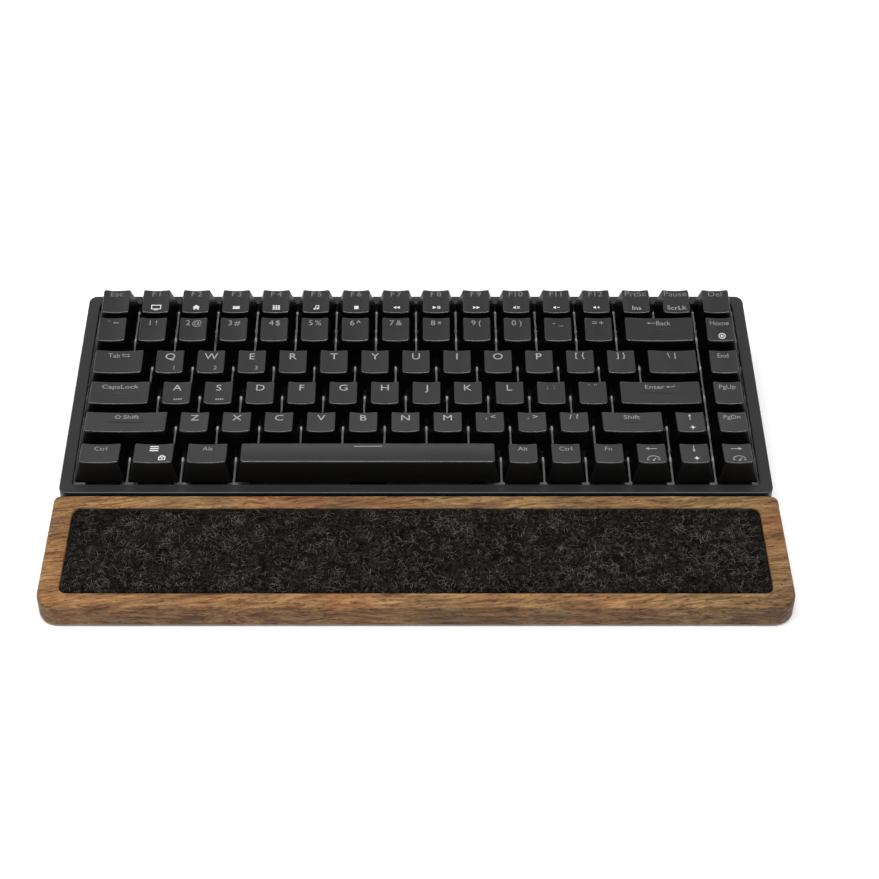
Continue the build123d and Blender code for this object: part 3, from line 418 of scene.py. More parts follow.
# Each tone of the felt's loose fibres: name, darkest and lightest colour, specular level.
FIBRE_TONES = [(name, moulded("felt_fibre_" + name, dark, light, (0.7, 0.9), 1500, 20 * MICRON, specular))
               for name, dark, light, specular in (
                   ("pale", (0.16, 0.152, 0.134), (0.26, 0.248, 0.220), 0.1),
                   ("grey", (0.032, 0.0300, 0.0260), (0.065, 0.0610, 0.0525), 0.1),
                   ("dark", (0.003, 0.003, 0.0027), (0.006, 0.006, 0.0055), 0.2))]

CAD_FINISH = [
    (CASE, "top_case"), (CASE_UNDER, "bottom_case tilt_foot_left tilt_foot_right"), (PLATE, "switch_plate"),
    (BOARD, "circuit_board"), (HOUSING, "switch_housings stabilizer_housings"), (LENS, "backlight_leds"),
    (CHIP, "controller_chip"), (POUCH, "battery"), (PORT, "usb_c_port"), (KNOB, "power_switch"),
    (SCREW, "plate_screws"), (RUBBER, "rubber_feet wrist_rest_feet"),
    (STEEL, "space_wire enter_wire backspace_wire left_shift_wire"),
]


def finish_cad_nodes():
    for material, names in CAD_FINISH:
        for name in names.split():
            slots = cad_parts[name].data.materials
            slots.clear()
            slots.append(material)


# ---- keys
def keys(node, *legends, units=1):
    return [(node, units, legend) for legend in legends]


def letters(row):
    return [("key_" + letter.lower(), 1, letter) for letter in row]


# Each row from the front, left to right: node, width in units, legend.
LAYOUT = [
    keys("modifier_keys", "Ctrl", "menu", "Alt", units=1.25) + keys("key_space", "dash", units=6.25)
    + keys("modifier_keys", "Alt", "Ctrl", "Fn") + keys("arrow_keys", "left", "down", "right"),
    keys("key_left_shift", "shift Shift", units=2.25) + letters("ZXCVBNM")
    + keys("punctuation_keys", ", <", ". >", "/ ?") + keys("modifier_keys", "Shift", units=1.75)
    + keys("arrow_keys", "up") + keys("navigation_keys", "PgDn"),
    keys("modifier_keys", "CapsLock", units=1.75) + letters("ASDFGHJKL")
    + keys("punctuation_keys", "; :", "' \"") + keys("key_enter", "Enter return", units=2.25)
    + keys("navigation_keys", "PgUp"),
    keys("modifier_keys", "Tab tab", units=1.5) + letters("QWERTYUIOP")
    + keys("punctuation_keys", "[ {", "] }") + keys("punctuation_keys", "\\ |", units=1.5)
    + keys("navigation_keys", "End"),
    keys("number_keys", "` ~", "1 !", "2 @", "3 #", "4 $", "5 %", "6 ^", "7 &", "8 *", "9 (", "0 )", "- _",
         "= +")
    + keys("key_backspace", "back Back", units=2) + keys("navigation_keys", "Home"),
    keys("key_escape", "Esc") + keys("function_keys", *(f"F{i}" for i in range(1, 13)))
    + keys("navigation_keys", "PrtSc", "Pause", "Del"),
]
SECOND_LEGENDS = {
    "F1": "screen", "F2": "house", "F3": "card", "F4": "grid", "F5": "note", "F6": "stop", "F7": "rewind",
    "F8": "play_pause", "F9": "forward", "F10": "mute", "F11": "quieter", "F12": "louder", "PrtSc": "Ins",
    "Pause": "ScrLk", "Home": "ring", "Q": "1", "W": "2", "E": "3", "A": "dashes", "S": "dashes",
    "menu": "lock", "left": "gauge", "right": "gauge", "up": "sun", "down": "sun",
}


def key_places():
    places = []
    for row, keys in enumerate(LAYOUT):
        left = -COLUMNS / 2
        for node, units, legend in keys:
            places.append((node, row, units, legend, (left + units / 2) * U, KEY_MARGIN + (row + 0.5) * U))
            left += units
    return places


KEYS = key_places()


SKIRT_LEVELS = (0, 0.04, 0.5)          # rings of the skirt, as shares of its height
RIM_LEVELS = (0, 0.2, 0.4, 0.6, 0.8, 1)
FACE_LEVELS = (0.86, 0.66, 0.44, 0.22, 0.04)     # rings of the top face, as shares of its size
FACE, SIDE, EDGE_HIGHLIGHT = 0, 1, 2         # a cap's materials: its top, its sides in painted shade, and its front edge band with a painted highlight


class Cap:
    """The form of one cap, in the deck's axes about its own centre."""

    def __init__(self, row, units, crown):
        self.front_height, front, self.back_height, back = CAP_PROFILES[row]
        self.front, self.back = front - U / 2, back - U / 2
        self.half = units * U / 2 - CAP_GAP / 2
        self.top_half = self.half - CAP_INSET
        self.crown = crown
        self.along = max(6, round(units * 5))

    def height(self, x, v):
        """Height of the dished or crowned top face."""
        t = (v - self.front) / (self.back - self.front)
        plane = self.front_height + (self.back_height - self.front_height) * t
        if self.crown:
            return plane + self.crown * 4 * t * (1 - t)
        return plane - CAP_DISH * (1 - (x / self.top_half) ** 2)

    def outline(self, half, front, back, corners, height):
        """A ring of the cap, with a function for its height at each point."""
        radii = (corners[0], corners[0], corners[1], corners[1])
        return [Vector((a, b, height(a, b)))
                for a, b in rounded_outline(-half, half, front, back, radii, self.along, 6)]

    def hollow(self, base):
        """The hollow's roof, which slopes as the top face does, and its mouth."""
        front, back = self.front + CAP_WALL, self.back - CAP_WALL
        drop = CAP_ROOF + CAP_DISH
        middle = (self.front_height + self.back_height) / 2
        half = self.half - CAP_WALL - CAP_INSET * (1 - drop / (middle - CAP_BOTTOM))
        roof = self.outline(half, front, back, HOLLOW_CORNERS, lambda a, b: mix(
            self.front_height, self.back_height, (b - front) / (back - front)) - drop)
        mouth = self.outline(self.half - CAP_WALL, CAP_WALL - base, base - CAP_WALL, HOLLOW_CORNERS,
                             lambda a, b: CAP_BOTTOM)
        return [roof, mouth]

    def add_to(self, build, x, v):
        base = (U - CAP_GAP) / 2
        low = self.outline(self.half, -base, base, SKIRT_CORNERS, lambda a, b: CAP_BOTTOM)
        rim = self.outline(self.top_half, self.front, self.back, RIM_CORNERS, self.height)
        inner = self.outline(self.top_half - CAP_EASE, self.front + CAP_EASE, self.back - CAP_EASE,
                             FACE_CORNERS, self.height)
        shoulder = [q + (p - q).normalized() * CAP_EASE for p, q in zip(low, rim)]
        rings = self.hollow(base) + [[mix(p, q, t) for p, q in zip(low, rim)] for t in SKIRT_LEVELS]
        rings += [[bend(s, q, i, t) for s, q, i in zip(shoulder, rim, inner)] for t in RIM_LEVELS]
        # the rim's front band takes the paler edge material, a painted highlight
        highlight_kinds = [EDGE_HIGHLIGHT if q.y < self.front + CAP_EASE else FACE for q in rim]
        kinds = [SIDE] * 5 + [highlight_kinds] * 5 + [FACE] * 5
        middle_v = (self.front + self.back) / 2
        reach = (self.back - self.front) / 2 - CAP_EASE
        spine = max(self.top_half - CAP_EASE - reach, 0)
        for share in FACE_LEVELS:
            ring = []
            for p in inner:
                centre_x = min(max(p.x, -spine), spine)
                a, b = mix(centre_x, p.x, share), mix(middle_v, p.y, share)
                ring.append(Vector((a, b, self.height(a, b))))
            rings.append(ring)
        build.skin([[deck(x + p.x, v + p.y, p.z) for p in ring] for ring in rings], kinds)


# ---- legends
class Glyphs:
    """Flat shapes of text, in millimetres about its centre."""

    def __init__(self):
        self.cache = {}
        capital = self.outline_of("H")
        self.unit = 1 / (max(p[1] for p in capital[0]) - min(p[1] for p in capital[0]))

    def outline_of(self, text):
        if text not in self.cache:
            curve = bpy.data.curves.new("glyph", "FONT")
            curve.body = text
            curve.resolution_u = 4
            holder = bpy.data.objects.new("glyph", curve)
            bpy.context.scene.collection.objects.link(holder)
            mesh = bpy.data.meshes.new_from_object(holder)
            self.cache[text] = ([tuple(v.co[:2]) for v in mesh.vertices],
                                [tuple(p.vertices) for p in mesh.polygons])
            bpy.data.objects.remove(holder)
            bpy.data.curves.remove(curve)
            bpy.data.meshes.remove(mesh)
        return self.cache[text]

    def text(self, text, height, widen):
        points, faces = self.outline_of(text)
        scale = height * self.unit
        low = min(p[0] for p in points)
        high = max(p[0] for p in points)
        shapes = [((x - (low + high) / 2) * scale * widen, y * scale - height / 2) for x, y in points]
        return shapes, faces


def stroke(points, width, closed=False):
    """A ribbon of constant width along a polyline."""
    path = [Vector(p) for p in points]
    count = len(path)
    left, right = [], []
    ways = [(path[(i + 1) % count] - path[i]).normalized() for i in range(count)]
    if not closed:
        ways[-1] = ways[-2]
    for i, here in enumerate(path):
        a = ways[i - 1] if i > 0 or closed else ways[i]
        tangent = (a + ways[i]).normalized()
        normal = Vector((-tangent.y, tangent.x))
        reach = width / 2 / max(normal.dot(Vector((-a.y, a.x))), 0.5)
        left.append(tuple(here + normal * reach))
        right.append(tuple(here - normal * reach))
    faces = []
    for i in range(count if closed else count - 1):
        j = (i + 1) % count
        faces.append((i, count + i, count + j, j))
    return left + right, faces


def circle(radius, width, start=0, end=360, steps=20, at=(0, 0)):
    closed = end - start >= 360
    points = []
    for i in range(steps if closed else steps + 1):
        angle = radians(start + (end - start) * i / steps)
        points.append((at[0] + radius * cos(angle), at[1] + radius * sin(angle)))
    return stroke(points, width, closed)


def solid(points):
    return points, [tuple(range(len(points)))]


def bar(x0, y0, x1, y1):
    return solid([(x0, y0), (x1, y0), (x1, y1), (x0, y1)])


def triangle(x, y, size, way):
    half = size / 2
    return solid([(x - way * half, y - half), (x + way * half, y), (x - way * half, y + half)][::way])


LINE = 0.32
SPEAKER = solid([(-1.5, -0.4), (-1.0, -0.4), (-0.3, -1.0), (-0.3, 1.0), (-1.0, 0.4), (-1.5, 0.4)])
# Symbols drawn as strokes and small solids, in millimetres.
SYMBOLS = {
    "menu": [bar(-1.6, y - 0.27, 1.6, y + 0.27) for y in (-1.1, 0, 1.1)],
    "*": [stroke([(-0.9, 0), (0.9, 0)], 0.3), stroke([(-0.45, -0.8), (0.45, 0.8)], 0.3),
          stroke([(-0.45, 0.8), (0.45, -0.8)], 0.3)],
    "~": [stroke([(-1.2, -0.3), (-0.7, 0.25), (-0.2, 0.2), (0.2, -0.2), (0.7, -0.25), (1.2, 0.3)], 0.4)],
    "dash": [bar(-6.2, -0.22, 6.2, 0.22)],
    "left": [bar(-0.6, -0.16, 2.4, 0.16), triangle(-1.3, 0, 1.4, -1)],
    "right": [bar(-2.4, -0.16, 0.6, 0.16), triangle(1.3, 0, 1.4, 1)],
    "up": [bar(-0.16, -1.8, 0.16, 0.6), solid([(-0.7, 0.5), (0.7, 0.5), (0, 1.9)])],
    "down": [bar(-0.16, -0.6, 0.16, 1.8), solid([(-0.7, -0.5), (0, -1.9), (0.7, -0.5)])],
    "shift": [stroke([(-1.5, 0), (0, 1.4), (1.5, 0), (0.7, 0), (0.7, -1.1), (-0.7, -1.1), (-0.7, 0)],
              LINE, True)],
    "return": [bar(-1.0, -0.16, 2.0, 0.16), triangle(-1.4, 0, 1.3, -1), bar(1.7, 0.1, 2.0, 1.2)],
    "back": [bar(-0.9, -0.16, 1.8, 0.16), triangle(-1.4, 0, 1.3, -1)],
    "tab": [bar(-1.4, 0.45, 1.6, 0.75), triangle(-1.6, 0.6, 1.0, -1),
            bar(-1.6, -0.75, 1.4, -0.45), triangle(1.6, -0.6, 1.0, 1)],
    "screen": [stroke([(-2.1, -0.85), (2.1, -0.85), (2.1, 1.35), (-2.1, 1.35)], 0.42, True),
               bar(-1.1, -1.6, 1.1, -1.2)],
    "house": [solid([(-1.8, 0.1), (1.8, 0.1), (0, 1.6)]), bar(-1.25, -1.3, -0.35, 0.1),
              bar(0.35, -1.3, 1.25, 0.1), bar(-0.35, -0.5, 0.35, 0.1)],
    "card": [bar(-1.6, -0.85, 1.6, 0.2), bar(-1.6, 0.4, 1.6, 0.85)],
    "grid": [bar(x - 0.45, y - 0.34, x + 0.45, y + 0.34) for x in (-1.2, 0, 1.2) for y in (-0.95, 0, 0.95)],
    "note": [circle(0.3, 0.5, at=(-0.6, -0.8)), circle(0.3, 0.5, at=(0.8, -0.6)),
             stroke([(-0.15, -0.8), (-0.15, 1.0), (1.25, 1.2), (1.25, -0.6)], LINE)],
    "stop": [bar(-1.0, -0.95, 1.0, 0.95)],
    "rewind": [triangle(-0.9, 0, 1.6, -1), triangle(0.7, 0, 1.6, -1)],
    "forward": [triangle(-0.7, 0, 1.6, 1), triangle(0.9, 0, 1.6, 1)],
    "play_pause": [triangle(-1.0, 0, 1.7, 1), bar(0.4, -0.85, 0.8, 0.85), bar(1.2, -0.85, 1.6, 0.85)],
    "mute": [SPEAKER, stroke([(0.3, -0.6), (1.5, 0.6)], LINE), stroke([(0.3, 0.6), (1.5, -0.6)], LINE)],
    "quieter": [SPEAKER, bar(0.3, -0.16, 1.5, 0.16)],
    "louder": [SPEAKER, bar(0.3, -0.16, 1.5, 0.16), bar(0.74, -0.6, 1.06, 0.6)],
    "ring": [circle(1.3, LINE), circle(0.45, LINE)],
    "dashes": [bar(x - 0.36, -0.45, x + 0.36, 0.45) for x in (-1.5, -0.5, 0.5, 1.5)],
    "lock": [stroke([(-0.85, -0.95), (0.85, -0.95), (0.85, 0.2), (-0.85, 0.2)], 0.3, True),
             circle(0.55, 0.26, 0, 180, 10, (0, 0.3)), bar(-0.2, -0.6, 0.2, -0.1)],
    "gauge": [circle(1.8, 0.22, 20, 160, 14, (0, -0.8)), stroke([(0, -0.8), (0.7, 0.2)], 0.22),
              circle(0.15, 0.25, at=(0, -0.8)), bar(-1.9, -0.75, -1.1, -0.53), bar(1.1, -0.75, 1.9, -0.53)],
    "sun": [circle(0.35, 0.5)] + [bar(x - 0.14, y - 0.14, x + 0.14, y + 0.14)
            for x, y in ((-1, 0), (1, 0), (0, 1), (0, -1))],
}
GLYPHS = Glyphs()


def shape_width(shapes):
    xs = [p[0] for points, _ in shapes for p in points]
    return max(xs) - min(xs)


def moved(shapes, left):
    """The shapes with their left end at a place."""
    low = min(p[0] for points, _ in shapes for p in points)
    return [([(x - low + left, y) for x, y in points], faces) for points, faces in shapes]


def scaled(shapes, size):
    return [([(x * size, y * size) for x, y in points], faces) for points, faces in shapes]


def legend_shapes(legend, style):
    """The flat shapes of a legend's words and symbols side by side, each at least a cell wide."""
    words = [scaled(SYMBOLS[word], style.size) if word in SYMBOLS
             else [GLYPHS.text(word, style.height, style.widen)] for word in legend.split(" ")]
    widths = [max(shape_width(word), style.cell) for word in words]
    at, placed = -(sum(widths) + style.gap * (len(words) - 1)) / 2, []
    for word, width in zip(words, widths):
        placed += moved(word, at + (width - shape_width(word)) / 2)
        at += width + style.gap
    return placed


LEGEND_DEPTH = 0.3 * MM
LEGEND_PROUD = 0.02 * MM
LONGEST_EDGE = 1.1 * MM      # longer edges of a legend are divided, to follow the cap's dish


def emboss(build, cap, shapes, x, v, at_x, at_v, kind):
    """Legend shapes pressed onto the cap's top face as thin closed inlays."""
    bm = bmesh.new()
    for points, faces in shapes:
        made = [bm.verts.new((px * MM + at_x, py * MM + at_v, 0)) for px, py in points]
        for face in faces:
            bm.faces.new([made[i] for i in face])
    bmesh.ops.triangulate(bm, faces=bm.faces[:])
    for _ in range(3):
        long_edges = [e for e in bm.edges if e.calc_length() > LONGEST_EDGE]
        if long_edges:
            bmesh.ops.subdivide_edges(bm, edges=long_edges, cuts=1)
            bmesh.ops.triangulate(bm, faces=bm.faces[:])
    bmesh.ops.recalc_face_normals(bm, faces=bm.faces[:])
    bmesh.ops.reverse_faces(bm, faces=[f for f in bm.faces if f.normal.z < 0])
    grown = bmesh.ops.extrude_face_region(bm, geom=bm.faces[:])
    lifted = {g for g in grown["geom"] if isinstance(g, bmesh.types.BMVert)}
    bm.verts.index_update()
    vertices = []
    for vert in bm.verts:
        offset = LEGEND_PROUD if vert in lifted else -LEGEND_DEPTH
        height = cap.height(vert.co.x, vert.co.y) + offset
        vertices.append(deck(x + vert.co.x, v + vert.co.y, height))
    build.add(vertices, [[vert.index for vert in face.verts] for face in bm.faces], kind)
    bm.free()


# A kind of legend, in millimetres: its height, its distance from the top face's edge (the back edge, or
# the front edge for a second legend), how far it is widened, the gap between its words, the least width
# of each, its print, its shift to the right and the size of its symbols.
Style = namedtuple("Style", "height distance widen gap cell print right size", defaults=(0, 1))
PLAIN, SOFT, DIM, BRIGHT = 0, 1, 2, 3
FUNCTION_LEGEND = Style(2.9, 2.2, 1.15, 1.1, 1.4, DIM)
NUMBER_LEGEND = Style(2.9, 2.8, 1.1, 1.0, 2.0, SOFT)
PAIR_LEGEND = Style(2.9, 2.8, 1.1, 1.0, 2.0, PLAIN)
FAINT_LEGEND = Style(2.9, 2.8, 1.1, 1.0, 2.0, DIM)
LETTER_LEGEND = Style(3.6, 3.5, 1.16, 0, 0, PLAIN)
WORD_LEGEND = Style(2.5, 3.0, 1.0, 0.6, 0, SOFT)
LONG_LEGEND = Style(2.4, 3.0, 1.2, 0.6, 0, SOFT)
DASH_LEGEND = Style(1.0, 2.6, 1, 0, 0, PLAIN)
MENU_LEGEND = Style(2.5, 3.0, 1, 0, 0, BRIGHT, 0, 1.2)
ARROW_LEGEND = Style(2.5, 3.0, 1, 0, 0, PLAIN, 0, 1.15)
FUNCTION_SECOND = Style(2.2, 3.3, 1.1, 0, 0, BRIGHT, 0.2, 1.02)
WORD_SECOND = Style(2.4, 3.1, 1.15, 0, 0, PLAIN, 0.2)
LETTER_SECOND = Style(2.2, 3.2, 1.15, 0, 0, SOFT, 2.2)
ROW_SECOND = Style(2.2, 2.9, 1, 0, 0, SOFT, 0.7)
MARK_SECOND = Style(2.2, 3.0, 1, 0, 0, BRIGHT, 0.7, 1.15)
GAUGE_SECOND = Style(2.2, 2.9, 1, 0, 0, PLAIN, 0.5, 1.6)
LOCK_SECOND = Style(2.2, 3.3, 1, 0, 0, BRIGHT, 4.0, 1.6)


def main_style(row, legend):
    if row == 5:
        return FUNCTION_LEGEND
    if " " in legend and len(legend) == 3:
        return {4: NUMBER_LEGEND, 2: FAINT_LEGEND}.get(row, PAIR_LEGEND)
    if len(legend) == 1:
        return LETTER_LEGEND
    if legend in SYMBOLS:
        return {"dash": DASH_LEGEND, "menu": MENU_LEGEND}.get(legend, ARROW_LEGEND)
    return LONG_LEGEND if max(len(word) for word in legend.split(" ")) > 4 else WORD_LEGEND


def second_style(row, symbol):
    if row == 5:
        return FUNCTION_SECOND if symbol in SYMBOLS else WORD_SECOND
    if symbol in SYMBOLS:
        return {"dashes": ROW_SECOND, "lock": LOCK_SECOND, "gauge": GAUGE_SECOND}.get(symbol, MARK_SECOND)
    return LETTER_SECOND


def add_legends(build, cap, row, legend, x, v):
    """A key's main legend, and its second one if it has any. A function key's F stands off its number."""
    style = main_style(row, legend)
    text = "F " + legend[1:] if legend[0] == "F" and legend[1:].isdigit() else legend
    emboss(build, cap, legend_shapes(text, style), x, v, style.right * MM, cap.back - style.distance * MM,
           style.print)
    second = SECOND_LEGENDS.get(legend)
    if second:
        style = second_style(row, second)
        emboss(build, cap, legend_shapes(second, style), x, v, style.right * MM,
               cap.front + style.distance * MM, style.print)


# ---- key parts under the caps
def prism(build, outline, low, high, x, v):
    rings = [[deck(x + a, v + b, h) for a, b in outline] for h in (low, high)]
    build.skin(rings, [0])


def cross_outline():
    a, b = CROSS_ARM / 2, CROSS_LENGTH / 2
    return [(a, -b), (a, -a), (b, -a), (b, a), (a, a), (a, b), (-a, b), (-a, a), (-b, a), (-b, -a),
            (-a, -a), (-a, -b)]


def add_slider(build, x, v):
    """A block with a round seat for the spring below and the cross above."""
    wide, deep, tall = SLIDER_SIZE
    outer = rounded_outline(-wide / 2, wide / 2, -deep / 2, deep / 2, (SLIDER_CORNER,) * 4, 4, 4, corner=2)
    seat = [tuple(Vector(p).normalized() * SEAT_RADIUS) for p in outer]
    bottom = SHOULDER - tall
    rings = [[deck(x + a, v + b, h) for a, b in outline]
             for outline, h in ((seat, SPRING_TOP), (seat, bottom), (outer, bottom), (outer, SHOULDER))]
    build.skin(rings, [0] * 3)
    prism(build, cross_outline(), SHOULDER, CROSS_TOP, x, v)


def add_stabilizer_slider(build, x, v, inward):
    """A block with a slot from below for the wire's hook, and the cross above."""
    sides = sorted((-STABILIZER_SIDES[1] * inward, STABILIZER_SIDES[0] * inward))
    front, back = STABILIZER_DEPTH
    low = STABILIZER_BOTTOM
    hole_v, hole_h, radius = WIRE_HOLE
    arch = [(hole_v - radius * cos(pi * i / 8), hole_h + radius * sin(pi * i / 8)) for i in range(9)]
    outline = [(front, low), (hole_v - radius, low), *arch, (hole_v + radius, low), (back, low),
               (back, SHOULDER), (front, SHOULDER)]
    build.skin([[deck(x + a, v + b, h) for b, h in outline] for a in sides], [0])
    prism(build, cross_outline(), SHOULDER, CROSS_TOP, x, v)


SPRING_TURNS = 8
SPRING_RADIUS = 1.8 * MM
SPRING_WIRE = 0.16 * MM
SPRING_END = 0.06         # how much closer the turns are at its ends
SPRING_STEPS = 12         # a turn


def add_spring(build, x, v):
    """A coil of round wire, with close turns at both ends."""
    steps, sides = SPRING_TURNS * SPRING_STEPS, 5
    rings = []
    for i in range(steps + 1):
        t = i / steps
        turn = 2 * pi * SPRING_TURNS * t
        rise = t - SPRING_END * sin(2 * pi * t)
        height = SPRING_FLOOR + SPRING_WIRE + (SPRING_TOP - SPRING_FLOOR - 2 * SPRING_WIRE) * rise
        ring = []
        for k in range(sides):
            angle = 2 * pi * k / sides
            reach = SPRING_RADIUS + SPRING_WIRE * cos(angle)
            ring.append(deck(x + reach * cos(turn), v + reach * sin(turn), height + SPRING_WIRE * sin(angle)))
        rings.append(ring)
    build.skin(rings, [0] * steps)


def make_keys():
    for node in sorted({key[0] for key in KEYS}):
        caps, legends, sliders, springs = Build(), Build(), Build(), Build()
        crown = SPACE_CROWN if node == "key_space" else 0
        for name, row, units, legend, x, v in KEYS:
            if name != node:
                continue
            cap = Cap(row, units, crown)
            cap.add_to(caps, x, v)
            add_legends(legends, cap, row, legend, x, v)
            add_slider(sliders, x, v)
            add_spring(springs, x, v)
            if node in STABILIZERS:
                for side in (-1, 1):
                    add_stabilizer_slider(sliders, x + side * STABILIZERS[node], v, -side)
        short = node.replace("key_", "")
        cap_piece = caps.make("cap_" + short, [CAP_TOP, CAP_SHADED_SIDE, CAP_HIGHLIGHT_EDGE])
        legend_piece = legends.make("legend_" + short, LEGEND_PRINTS, smooth=False)
        slider_piece = sliders.make("slider_" + short, [SLIDER], smooth=False)
        spring_piece = springs.make("spring_" + short, [STEEL])
        for piece in (cap_piece, legend_piece, slider_piece):
            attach(piece, node)
        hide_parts(node)
        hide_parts(node)
        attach(spring_piece, "case")
        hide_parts("switch_springs")
        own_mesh(spring_piece)


# ---- wrist rest
rest_low, rest_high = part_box("wrist_rest_body")
felt_low, felt_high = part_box("wrist_rest_felt")
FELT_MIDDLE = (felt_low.y + felt_high.y) / 2
REST_BACK_HEIGHT = 14.5 * MM
REST_FRONT_HEIGHT = 11.7 * MM
REST_CORNERS = (9.0 * MM, 9.0 * MM, 3.5 * MM, 3.5 * MM)
ROUND_LOW, ROUND_TOP = 0.9 * MM, 1.3 * MM
BACK_EASE = 0.3           # the back edge's rounding, as a share of the other edges'
BACK_EASE_DEPTH = 6 * MM
POCKET_GAP = 0.25 * MM
POCKET_EASE = 0.35 * MM
FELT_SIZE = (301.4 * MM, 49.0 * MM)
FELT_THICKNESS = 1.6 * MM
FELT_CORNER = 3.8 * MM
FELT_STEPS = (280, 48)
FELT_RIM = 0.72           # its thickness at the edge, as a share of the rest's
FELT_EASE = 1.5           # steps over which it gets there
ROW_WEIGHT = 1.1          # a step across counts as this many along
FELT_UNEVEN = 0.05 * MM
FELT_LIFT = 0.02 * MM     # above the pocket's floor


def rest_top(y):
    t = (y - rest_low.y) / (rest_high.y - rest_low.y)
    return REST_FRONT_HEIGHT + (REST_BACK_HEIGHT - REST_FRONT_HEIGHT) * t


def rest_outline(inset):
    return rounded_outline(rest_low.x + inset, rest_high.x - inset, rest_low.y + inset, rest_high.y - inset,
                           [r - inset for r in REST_CORNERS], 96, 20, corner=10)


def make_wrist_rest_body():
    """The wooden board: eased edges, a sloped top and a sunk pocket for the felt."""
    rings = []
    for i in range(4):
        angle = i / 3 * pi / 2
        height = rest_low.z + ROUND_LOW * (1 - cos(angle))
        rings.append([Vector((x, y, height)) for x, y in rest_outline(ROUND_LOW * (1 - sin(angle)))])
    rim, eased = rest_outline(0), rest_outline(ROUND_TOP)
    for i in range(8):
        angle = i / 7 * pi / 2
        ring = []
        for (x, y), (in_x, in_y) in zip(rim, eased):
            share = min(max((rest_high.y - y) / BACK_EASE_DEPTH, 0.0), 1.0) * (1 - BACK_EASE) + BACK_EASE
            inward = share * (1 - cos(angle))
            at_y = mix(y, in_y, inward)
            height = rest_top(at_y) - ROUND_TOP * share * (1 - sin(angle))
            ring.append(Vector((mix(x, in_x, inward), at_y, height)))
        rings.append(ring)
    for grow, drop in ((POCKET_GAP + POCKET_EASE, 0), (POCKET_GAP, POCKET_EASE),
                       (POCKET_GAP, FELT_THICKNESS)):
        half_x, half_y = FELT_SIZE[0] / 2 + grow, FELT_SIZE[1] / 2 + grow
        outline = rounded_outline(-half_x, half_x, FELT_MIDDLE - half_y, FELT_MIDDLE + half_y,
                                  (FELT_CORNER,) * 4, 96, 20, corner=10)
        rings.append([Vector((x, y, rest_top(y) - drop)) for x, y in outline])
    build = Build()
    build.skin(rings, [0] * (len(rings) - 1))
    body = build.make("wrist_rest_wood", [WOOD])
    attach(body, "wrist_rest")
    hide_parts("wrist_rest_body")


def make_wrist_rest_felt():
    """The felt inlay, slightly uneven, with loose fibres lying over it."""
    chance = random.Random(7)
    steps_x, steps_y = FELT_STEPS
    half_x, half_y = FELT_SIZE[0] / 2, FELT_SIZE[1] / 2

    def place(i, j, level):
        """A point of the grid, which is drawn in at the felt's rounded corners."""
        x = (i / steps_x * 2 - 1) * half_x
        y = (j / steps_y * 2 - 1) * half_y
        over_x, over_y = abs(x) - (half_x - FELT_CORNER), abs(y) - (half_y - FELT_CORNER)
        if over_x > 0 and over_y > 0:
            shrink = max(over_x, over_y) / (over_x * over_x + over_y * over_y) ** 0.5
            x = (abs(x) - over_x + over_x * shrink) * (1 if x > 0 else -1)
            y = (abs(y) - over_y + over_y * shrink) * (1 if y > 0 else -1)
        return Vector((x, FELT_MIDDLE + y, rest_top(FELT_MIDDLE + y) - FELT_THICKNESS + level))

    def level(i, j):
        rim = min(i, steps_x - i, j * ROW_WEIGHT, (steps_y - j) * ROW_WEIGHT)
        share = FELT_RIM + (1 - FELT_RIM) * min(rim / FELT_EASE, 1.0)
        return FELT_THICKNESS * share + chance.uniform(-FELT_UNEVEN, FELT_UNEVEN)

    vertices = [place(i, j, level(i, j)) for j in range(steps_y + 1) for i in range(steps_x + 1)]
    wide = steps_x + 1
    faces = [(j * wide + i, j * wide + i + 1, (j + 1) * wide + i + 1, (j + 1) * wide + i)
             for j in range(steps_y) for i in range(steps_x)]
    border = list(range(steps_x)) + [j * wide + steps_x for j in range(steps_y)]
    border += [steps_y * wide + i for i in range(steps_x, 0, -1)] + [j * wide for j in range(steps_y, 0, -1)]
    base, count = len(vertices), len(border)
    for index in border:
        x, y, _ = vertices[index]
        vertices.append(Vector((x, y, rest_top(y) - FELT_THICKNESS + FELT_LIFT)))
    for k in range(count):
        n = (k + 1) % count
        faces.append((border[k], base + k, base + n, border[n]))
    faces.append(tuple(base + k for k in reversed(range(count))))
    build = Build()
    build.add(vertices, faces)
    felt = build.make("wrist_rest_inlay", [FELT])
    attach(felt, "wrist_rest")
    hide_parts("wrist_rest_felt")
    make_fibres()


TUFT_COUNT = 1300
TUFT_FIBRES = 9
TUFT_SPREAD = 1.5 * MM
TUFT_MARGIN = 3.2 * MM
PALE_TUFTS = 0.45         # share of the tufts
PALE_TONES, DARK_TONES = (0, 0, 1, 2), (1, 2, 2, 2)
FIBRE_WIDTH = 0.10 * MM
FIBRE_RIDGE = 0.4         # its middle line's height, as a share of its width
FIBRE_END = 0.35          # width of its ends, as a share
FIBRE_LENGTH = (0.9, 3.8)
FIBRE_LIFT = (0.02, 0.16)
FIBRE_BASE = 0.03 * MM
FIBRE_MARGIN = 0.4 * MM
FIBRE_STRAY = 0.7         # radians from the tuft's lie
FIBRE_CURL = 1.3          # radians along its length
FIBRE_STEPS = 5


